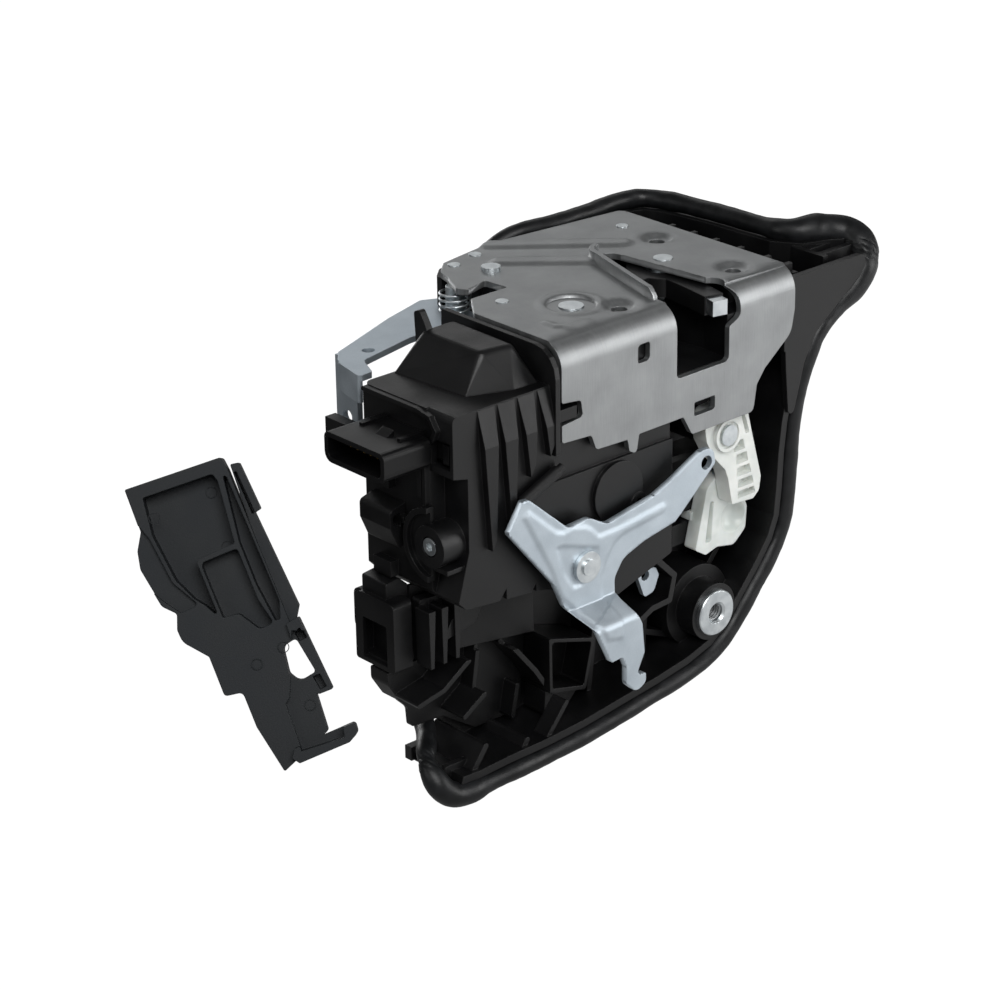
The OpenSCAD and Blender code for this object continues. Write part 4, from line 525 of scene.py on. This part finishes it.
# Faces whose normal's Y is below this look to the front
LOOKS_FORWARD = -0.4
LEVER_STEP = 0.55
LEVER_SLOPE = 1.2
LEVER_GRID = 0.7
# The CAD bead that the soft panel takes the place of is lower than this
LEVER_CAD_RELIEF = 0.5


def pressed_lever():
    """The release lever with its stepped panel and the triangle round its pin."""
    made = mesh_of("release_lever")
    flattened(made, 1, LEVER_FRONT, LEVER_CAD_RELIEF)
    low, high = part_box("release_lever")

    def in_front(face):
        return face.normal.y < LOOKS_FORWARD

    cuts = ((0, low.x / MM, high.x / MM), (2, low.z / MM, high.z / MM))
    for vertex in sliced(made, in_front, cuts, LEVER_GRID):
        p = Vector((vertex.co.x, vertex.co.z)) / MM
        raised = panel(p, LEVER_PANEL, LEVER_SLOPE) - panel(p, LEVER_TRIANGLE, LEVER_SLOPE)
        vertex.co.y -= LEVER_STEP * raised * MM
    return piece_from(made, "pressed_release_lever", "zinc_pressing", NODE_BODY["release_lever"],
                      "release_lever", smooth_angle=40)


# Small turned and moulded details, in millimetres


def looking(at, direction):
    """A place at a point in millimetres, with Z along a direction."""
    turn = Vector(direction).to_track_quat("Z", "Y").to_matrix().to_4x4()
    return Matrix.Translation(Vector(at) * MM) @ turn


def round_point(place, radius, angle, height):
    """A point in metres, from a radius, an angle and a height about a place's own Z."""
    return place @ (Vector((radius * math.cos(angle), radius * math.sin(angle), height)) * MM)


def skin(made, rows):
    """Faces between each row of vertices and the next, round the whole row."""
    for a, b in zip(rows, rows[1:]):
        for i in range(len(a)):
            j = (i + 1) % len(a)
            made.faces.new((a[i], b[i], b[j], a[j]))


def revolved(profile, name, finish, body, place, segments=40):
    """A closed profile of radius and height turned about its own Z and put in place."""
    made = bmesh.new()
    rows = []
    for i in range(segments):
        angle = 2 * math.pi * i / segments
        rows.append([made.verts.new(round_point(place, r, angle, z)) for r, z in profile])
    skin(made, rows + rows[:1])
    bmesh.ops.recalc_face_normals(made, faces=made.faces)
    return piece_from(made, name, finish, body)


INSERT_AT = (12.8, 5.0, -111.9)
COLLAR_RADIUS = 7.7
COLLAR_LENGTH = 1.5
COLLAR_CHAMFER = 0.3
SHANK_RADIUS = 5.8
INSERT_SEGMENTS = 64
# An M6 thread: its outer radius, the depth, half width and pitch of its ridge, the chamfer at its mouth
THREAD_RADIUS = 3.0
THREAD_DEPTH = 0.5
THREAD_HALF = 0.4
THREAD_PITCH = 1.0
THREAD_CHAMFER = 0.7
# How far the ridge reaches into the wall, and how far it stays from the front and the rear end
THREAD_ROOT = 0.1
THREAD_START = 1.2
THREAD_END = 0.6
THREAD_STEPS = 24


def bored_insert(place, length):
    """The insert, bored to the thread's outer width."""
    profile = [(THREAD_RADIUS + THREAD_CHAMFER, 0), (COLLAR_RADIUS - COLLAR_CHAMFER, 0),
               (COLLAR_RADIUS, COLLAR_CHAMFER), (COLLAR_RADIUS, COLLAR_LENGTH),
               (SHANK_RADIUS, COLLAR_LENGTH), (SHANK_RADIUS, length), (THREAD_RADIUS, length),
               (THREAD_RADIUS, THREAD_CHAMFER)]
    piece = revolved(profile, "bored_insert", "bright_zinc", NODE_BODY["threaded_insert"], place,
                     INSERT_SEGMENTS)
    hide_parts("threaded_insert")


def insert_thread(place, length):
    """The thread in the insert, as one ridge that winds up the bore."""
    made = bmesh.new()
    ridge = ((THREAD_RADIUS + THREAD_ROOT, THREAD_HALF), (THREAD_RADIUS - THREAD_DEPTH, 0),
             (THREAD_RADIUS + THREAD_ROOT, -THREAD_HALF))
    turns = int((length - THREAD_START - THREAD_END) / THREAD_PITCH)
    rows = []
    for i in range(THREAD_STEPS * turns + 1):
        angle = 2 * math.pi * i / THREAD_STEPS
        height = THREAD_START + THREAD_PITCH * i / THREAD_STEPS
        rows.append([made.verts.new(round_point(place, r, angle, height + z)) for r, z in ridge])
    skin(made, rows)
    made.faces.new(rows[0])
    made.faces.new(rows[-1])
    bmesh.ops.recalc_face_normals(made, faces=made.faces)
    piece_from(made, "insert_thread", "satin_steel_sheet", NODE_BODY["threaded_insert"])


def threaded_insert():
    """The turned insert and its thread."""
    place = looking(INSERT_AT, (0, 1, 0))
    low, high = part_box("threaded_insert")
    length = (high.y - low.y) / MM
    bored_insert(place, length)
    insert_thread(place, length)


# Middle of the loose cover, whose face looks down the photograph's line of sight
COVER_AT = (-132.4, 61.9, -82.6)
# Across, up and along the line of sight, from the cover's middle
EJECTOR_MARKS = [(-26, 28, -9.2), (-9.5, 35.5, -1.8), (-5, 19.2, -1.8), (12, -11, -9.2), (19.6, -28.6, -6.6),
                 (4, -16, -9.2)]
# Inner and outer radius of the raised ring, and how far it stands in and out of the face
MARK_IN = 1.5
MARK_OUT = 1.75
MARK_ROOT = -0.1
MARK_TOP = 0.22


def ejector_marks():
    """Round marks of the mould's ejector pins on the inside of the loose cover."""
    cover = (Matrix.Translation(Vector(COVER_AT) * MM)
             @ Matrix.Rotation(math.radians(CAMERA_AZIMUTH), 4, "Z")
             @ Matrix.Rotation(math.radians(-CAMERA_ELEVATION), 4, "X"))
    ring = [(MARK_IN, MARK_ROOT), (MARK_IN, MARK_TOP), (MARK_OUT, MARK_TOP), (MARK_OUT, MARK_ROOT)]
    for i, (across, up, along) in enumerate(EJECTOR_MARKS):
        place = cover @ looking((across, along, up), (0, -1, 0))
        revolved(ring, "ejector_mark_%d" % i, "grey_polypropylene", NODE_BODY["loose_cover"], place)


# How far the rounded wire of each spring swells, or shrinks below zero
SPRING_SWELL = {"outer_lever_spring": -0.2, "claw_spring": 0.05, "pawl_spring": 0.05}


def spring_wires():
    """The springs' wire, made round."""
    for node, swell in SPRING_SWELL.items():
        rounded_tube(node, node + "_wire", "bright_zinc", lambda p, swell=swell: swell, rounds=1)


# Where the seal swells past its even thickness: place, reach and extra radius
SEAL_BULGES = [
    (Vector((84, 18, -2)), 11, 1.5),
    (Vector((80, 12, -13)), 8, 1.1),
    (Vector((70, 27, -2)), 6, 0.7),
    (Vector((-97, 7, -137)), 7, 0.9),
]
# Height and length of the long waves and of the short creases in the seal's skin
SEAL_WAVE = (0.3, 9)
SEAL_CREASE = (0.12, 3)


def uneven(p, height, length):
    """Height of a soft random relief at a point in metres."""
    return height * noise.noise(p / (length * MM))


def soft_seal(fullness):
    """The foam seal, round and uneven as a soft cord is."""
    def swell(p):
        fuller = sum(extra * hump((p / MM - at).length, radius, radius) for at, radius, extra in SEAL_BULGES)
        return fullness + fuller + uneven(p, *SEAL_WAVE) + uneven(p, *SEAL_CREASE)

    seal = rounded_tube("foam_seal", "soft_foam_seal", "foam_rubber", swell)


# Sizes and colours that a user would change


class DoorLockSizes(bpy.types.PropertyGroup):
    seal_fullness: bpy.props.FloatProperty(
        name="Seal fullness", description="How far the foam swells past its core, in millimetres",
        default=0.28, min=0, max=1)
    floor_gap: bpy.props.FloatProperty(
        name="Floor gap", description="Gap between the part and the floor", default=0.0005, unit="LENGTH")


def colour_property(name, description, default):
    """A colour that a user can type in."""
    words = description + ", as an sRGB hex value"
    return bpy.props.StringProperty(name=name, description=words, default=default)


class DoorLockColours(bpy.types.PropertyGroup):
    steel: colour_property("Steel", "Light tone of the plate", "#a4a6a7")
    steel_dark: colour_property("Steel, dark", "Dark tone of the plate", "#929495")
    zinc: colour_property("Zinc", "Light tone of rivets and screws", "#d9dee0")
    zinc_dark: colour_property("Zinc, dark", "Dark tone of rivets and screws", "#c6cccf")
    lever: colour_property("Lever", "Light tone of the levers", "#cad3da")
    lever_dark: colour_property("Lever, dark", "Dark tone of the levers", "#b8c2ca")
    plastic: colour_property("Plastic", "Light tone of the black mouldings", "#0d0d0e")
    plastic_dark: colour_property("Plastic, dark", "Dark tone of the black mouldings", "#070708")
    cover: colour_property("Cover", "Light tone of the loose cover", "#181c20")
    cover_dark: colour_property("Cover, dark", "Dark tone of the loose cover", "#111518")
    foam: colour_property("Foam", "Light tone of the seal", "#151618")
    foam_dark: colour_property("Foam, dark", "Dark tone of the seal", "#0d0e0f")
    acetal: colour_property("Acetal", "Light tone of the white lever", "#e4e6e2")
    acetal_dark: colour_property("Acetal, dark", "Dark tone of the white lever", "#d4d8d4")
    natural: colour_property("Natural acetal", "Light tone of the slider", "#dde1de")
    natural_dark: colour_property("Natural acetal, dark", "Dark tone of the slider", "#c6ccc8")
    brass: colour_property("Brass", "Light tone of the worm and contacts", "#d8b86e")
    brass_dark: colour_property("Brass, dark", "Dark tone of the worm and contacts", "#b48f48")


# Operators, one for each group of pieces


class DOORLOCK_OT_plate(bpy.types.Operator):
    """Makes the pressed plate and the threaded insert, and finishes the latch's turned metal"""
    bl_idname = "door_lock.plate"
    bl_label = "Plate and latch"

    def execute(self, context):
        paint_nodes("bright_zinc", "jacket_plastic")
        pressed_plate()
        threaded_insert()
        return {"FINISHED"}


class DOORLOCK_OT_mouldings(bpy.types.Operator):
    """Finishes the black mouldings, the connector and the loose cover"""
    bl_idname = "door_lock.mouldings"
    bl_label = "Mouldings"

    def execute(self, context):
        paint_nodes("black_nylon", "connector_plastic", "grey_polypropylene")
        ejector_marks()
        return {"FINISHED"}


class DOORLOCK_OT_levers(bpy.types.Operator):
    """Makes the release lever, and finishes the other levers, the acetal pieces and the drive"""
    bl_idname = "door_lock.levers"
    bl_label = "Levers and drive"

    def execute(self, context):
        paint_nodes("zinc_pressing", "white_acetal", "natural_acetal", "turned_brass")
        pressed_lever()
        return {"FINISHED"}


class DOORLOCK_OT_springs(bpy.types.Operator):
    """Rounds the wire of the springs"""
    bl_idname = "door_lock.springs"
    bl_label = "Springs"

    def execute(self, context):
        spring_wires()
        return {"FINISHED"}


class DOORLOCK_OT_seal(bpy.types.Operator):
    """Makes the foam seal"""
    bl_idname = "door_lock.seal"
    bl_label = "Foam seal"

    def execute(self, context):
        soft_seal(context.scene.door_lock_sizes.seal_fullness)
        return {"FINISHED"}


# The photograph's camera, in metres, degrees and millimetres
CAMERA_AT = Vector((-0.65312, -0.6412, 0.33286))
CAMERA_AZIMUTH = -41.5
CAMERA_ELEVATION = 23.5
CAMERA_ROLL = -0.9
CAMERA_LENS = 116.36
CAMERA_NEAR = 0.05
CAMERA_FAR = 50

# The floor's half width in metres, and its squares each way
FLOOR_HALF = 6
FLOOR_SQUARES = 8
# What the camera sees of the floor: the share of white in it, and the strength of that white
FLOOR_GLOW = 0.93
FLOOR_WHITE = 1.08
# What the part sees of it: a glow of painted light in front, from here to there in metres, and painted shade
# behind
PAINTED_LIGHT_TOWARDS = (0.7, -0.7, 0)
PAINTED_LIGHT_FROM = -0.15
PAINTED_LIGHT_TO = 0.25
FLOOR_PAINTED_SHADE = 0.1
FLOOR_PAINTED_LIGHT = 0.85

# The world's light on the part
WORLD_LIGHT = 0.12
# Name, place, width and height in metres, and watts
LAMPS = [
    ("key", (-0.7, -1.1, 1.1), 1.0, 0.8, 22),
    ("fill", (-1.6, 0.2, 0.5), 0.8, 0.8, 3),
    ("side", (1.2, -1.2, 0.3), 0.9, 1.1, 14),
    ("back", (0.9, 1.3, 1.0), 1.2, 0.7, 3),
    ("rear", (0.3, 1.7, 0.1), 1.1, 0.8, 9),
]
LAMP_AIM = Vector((0, 0.02, -0.05))


class DOORLOCK_OT_stage(bpy.types.Operator):
    """Sets the camera, the floor and the studio light"""
    bl_idname = "door_lock.stage"
    bl_label = "Studio"

    def execute(self, context):
        place_camera(context.scene)
        lay_floor(context.scene)
        hang_lamps(context.scene)
        whiten_world(context.scene)
        context.scene.view_settings.view_transform = "Standard"
        return {"FINISHED"}


def place_camera(scene):
    """The camera at the photograph's place and angle."""
    data = bpy.data.cameras.new("camera")
    data.lens = CAMERA_LENS
    data.clip_start = CAMERA_NEAR
    data.clip_end = CAMERA_FAR
    camera = bpy.data.objects.new("camera", data)
    scene.collection.objects.link(camera)
    azimuth = math.radians(CAMERA_AZIMUTH)
    elevation = math.radians(CAMERA_ELEVATION)
    back = Vector((math.sin(azimuth) * math.cos(elevation), -math.cos(azimuth) * math.cos(elevation),
                   math.sin(elevation)))
    aim = (-back).to_track_quat("-Z", "Y").to_matrix().to_4x4()
    roll = Matrix.Rotation(math.radians(CAMERA_ROLL), 4, "Z")
    camera.matrix_world = Matrix.Translation(CAMERA_AT) @ aim @ roll
    scene.camera = camera


def pale_floor():
    """Plain white board: the camera sees it white where no shadow falls; the part sees it glow, with painted
    light in front and painted shade behind.
    """
    tree, place = new_material("pale_floor")
    sheet = add(tree, "ShaderNodeBsdfDiffuse", {"Color": linear("#f4f4f4")})
    glow = add(tree, "ShaderNodeEmission", {"Color": linear("#ffffff"), "Strength": FLOOR_WHITE})
    pale = add(tree, "ShaderNodeMixShader", {0: FLOOR_GLOW, 1: sheet.outputs[0], 2: glow.outputs[0]})
    # Painted light and shade: for every ray but the camera's, the floor glows by where it lies, brighter in
    # front of the part and dimmer behind it
    reach = add(tree, "ShaderNodeVectorMath", {0: place, 1: PAINTED_LIGHT_TOWARDS}, operation="DOT_PRODUCT")
    painted_light_share = add(tree, "ShaderNodeMapRange",
              {0: reach.outputs["Value"], 1: PAINTED_LIGHT_FROM, 2: PAINTED_LIGHT_TO, 3: FLOOR_PAINTED_SHADE, 4: FLOOR_PAINTED_LIGHT})
    painted_floor_glow = add(tree, "ShaderNodeEmission", {"Color": linear("#ffffff"), "Strength": painted_light_share.outputs[0]})
    path = add(tree, "ShaderNodeLightPath")
    mix = add(tree, "ShaderNodeMixShader",
              {0: path.outputs["Is Camera Ray"], 1: painted_floor_glow.outputs[0], 2: pale.outputs[0]})
    add(tree, "ShaderNodeOutputMaterial", {"Surface": mix.outputs[0]})
    return bpy.data.materials["pale_floor"]


def lay_floor(scene):
    """A wide floor just under the part."""
    low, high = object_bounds()
    made = bmesh.new()
    bmesh.ops.create_grid(made, x_segments=FLOOR_SQUARES, y_segments=FLOOR_SQUARES, size=FLOOR_HALF)
    data = bpy.data.meshes.new("floor")
    made.to_mesh(data)
    made.free()
    floor = bpy.data.objects.new("floor", data)
    scene.collection.objects.link(floor)
    middle = (low + high) / 2
    floor.location = (middle.x, middle.y, low.z - scene.door_lock_sizes.floor_gap)
    data.materials.append(pale_floor())
    floor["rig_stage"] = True


def hang_lamps(scene):
    """The lamps, each turned to the part."""
    for name, place, width, height, watts in LAMPS:
        data = bpy.data.lights.new(name, "AREA")
        data.shape = "RECTANGLE"
        data.size = width
        data.size_y = height
        data.energy = watts
        lamp = bpy.data.objects.new(name, data)
        scene.collection.objects.link(lamp)
        lamp.location = place
        lamp.rotation_euler = (LAMP_AIM - Vector(place)).to_track_quat("-Z", "Y").to_euler()


def whiten_world(scene):
    """A world that is white to look at and dim as a light."""
    world = bpy.data.worlds.new("studio")
    scene.world = world
    world.use_nodes = True
    tree = world.node_tree
    tree.nodes.clear()
    path = add(tree, "ShaderNodeLightPath")
    rays = {0: path.outputs["Is Camera Ray"], 1: path.outputs["Is Transmission Ray"]}
    seen = add(tree, "ShaderNodeMath", rays, operation="MAXIMUM")
    strength = add(tree, "ShaderNodeMapRange", {0: seen.outputs[0], 3: WORLD_LIGHT, 4: 1.0})
    sky = add(tree, "ShaderNodeBackground", {"Color": linear("#ffffff"), "Strength": strength.outputs[0]})
    add(tree, "ShaderNodeOutputWorld", {"Surface": sky.outputs[0]})


class DOORLOCK_PT_panel(bpy.types.Panel):
    """Lists the steps that dress the door lock"""
    bl_label = "Car door lock"
    bl_idname = "DOORLOCK_PT_panel"
    bl_space_type = "VIEW_3D"
    bl_region_type = "UI"
    bl_category = "Door lock"

    def draw(self, context):
        for group in (context.scene.door_lock_sizes, context.scene.door_lock_colours):
            for name in group.bl_rna.properties.keys():
                if name not in {"rna_type", "name"}:
                    self.layout.prop(group, name)
        for step in STEPS:
            self.layout.operator(step.bl_idname)


STEPS = [DOORLOCK_OT_plate, DOORLOCK_OT_mouldings, DOORLOCK_OT_levers, DOORLOCK_OT_springs, DOORLOCK_OT_seal,
         DOORLOCK_OT_stage]
CLASSES = [DoorLockSizes, DoorLockColours, *STEPS, DOORLOCK_PT_panel]


def register():
    """Registers the classes and puts the sizes and colours on the scene."""
    for cls in CLASSES:
        bpy.utils.register_class(cls)
    bpy.types.Scene.door_lock_sizes = bpy.props.PointerProperty(type=DoorLockSizes)
    bpy.types.Scene.door_lock_colours = bpy.props.PointerProperty(type=DoorLockColours)


def unregister():
    """Undoes register."""
    del bpy.types.Scene.door_lock_colours
    del bpy.types.Scene.door_lock_sizes
    for cls in reversed(CLASSES):
        bpy.utils.unregister_class(cls)


def main():
    register()
    bpy.ops.door_lock.plate()
    bpy.ops.door_lock.mouldings()
    bpy.ops.door_lock.levers()
    bpy.ops.door_lock.springs()
    bpy.ops.door_lock.seal()
    bpy.ops.door_lock.stage()


if __name__ == "__main__":
    main()
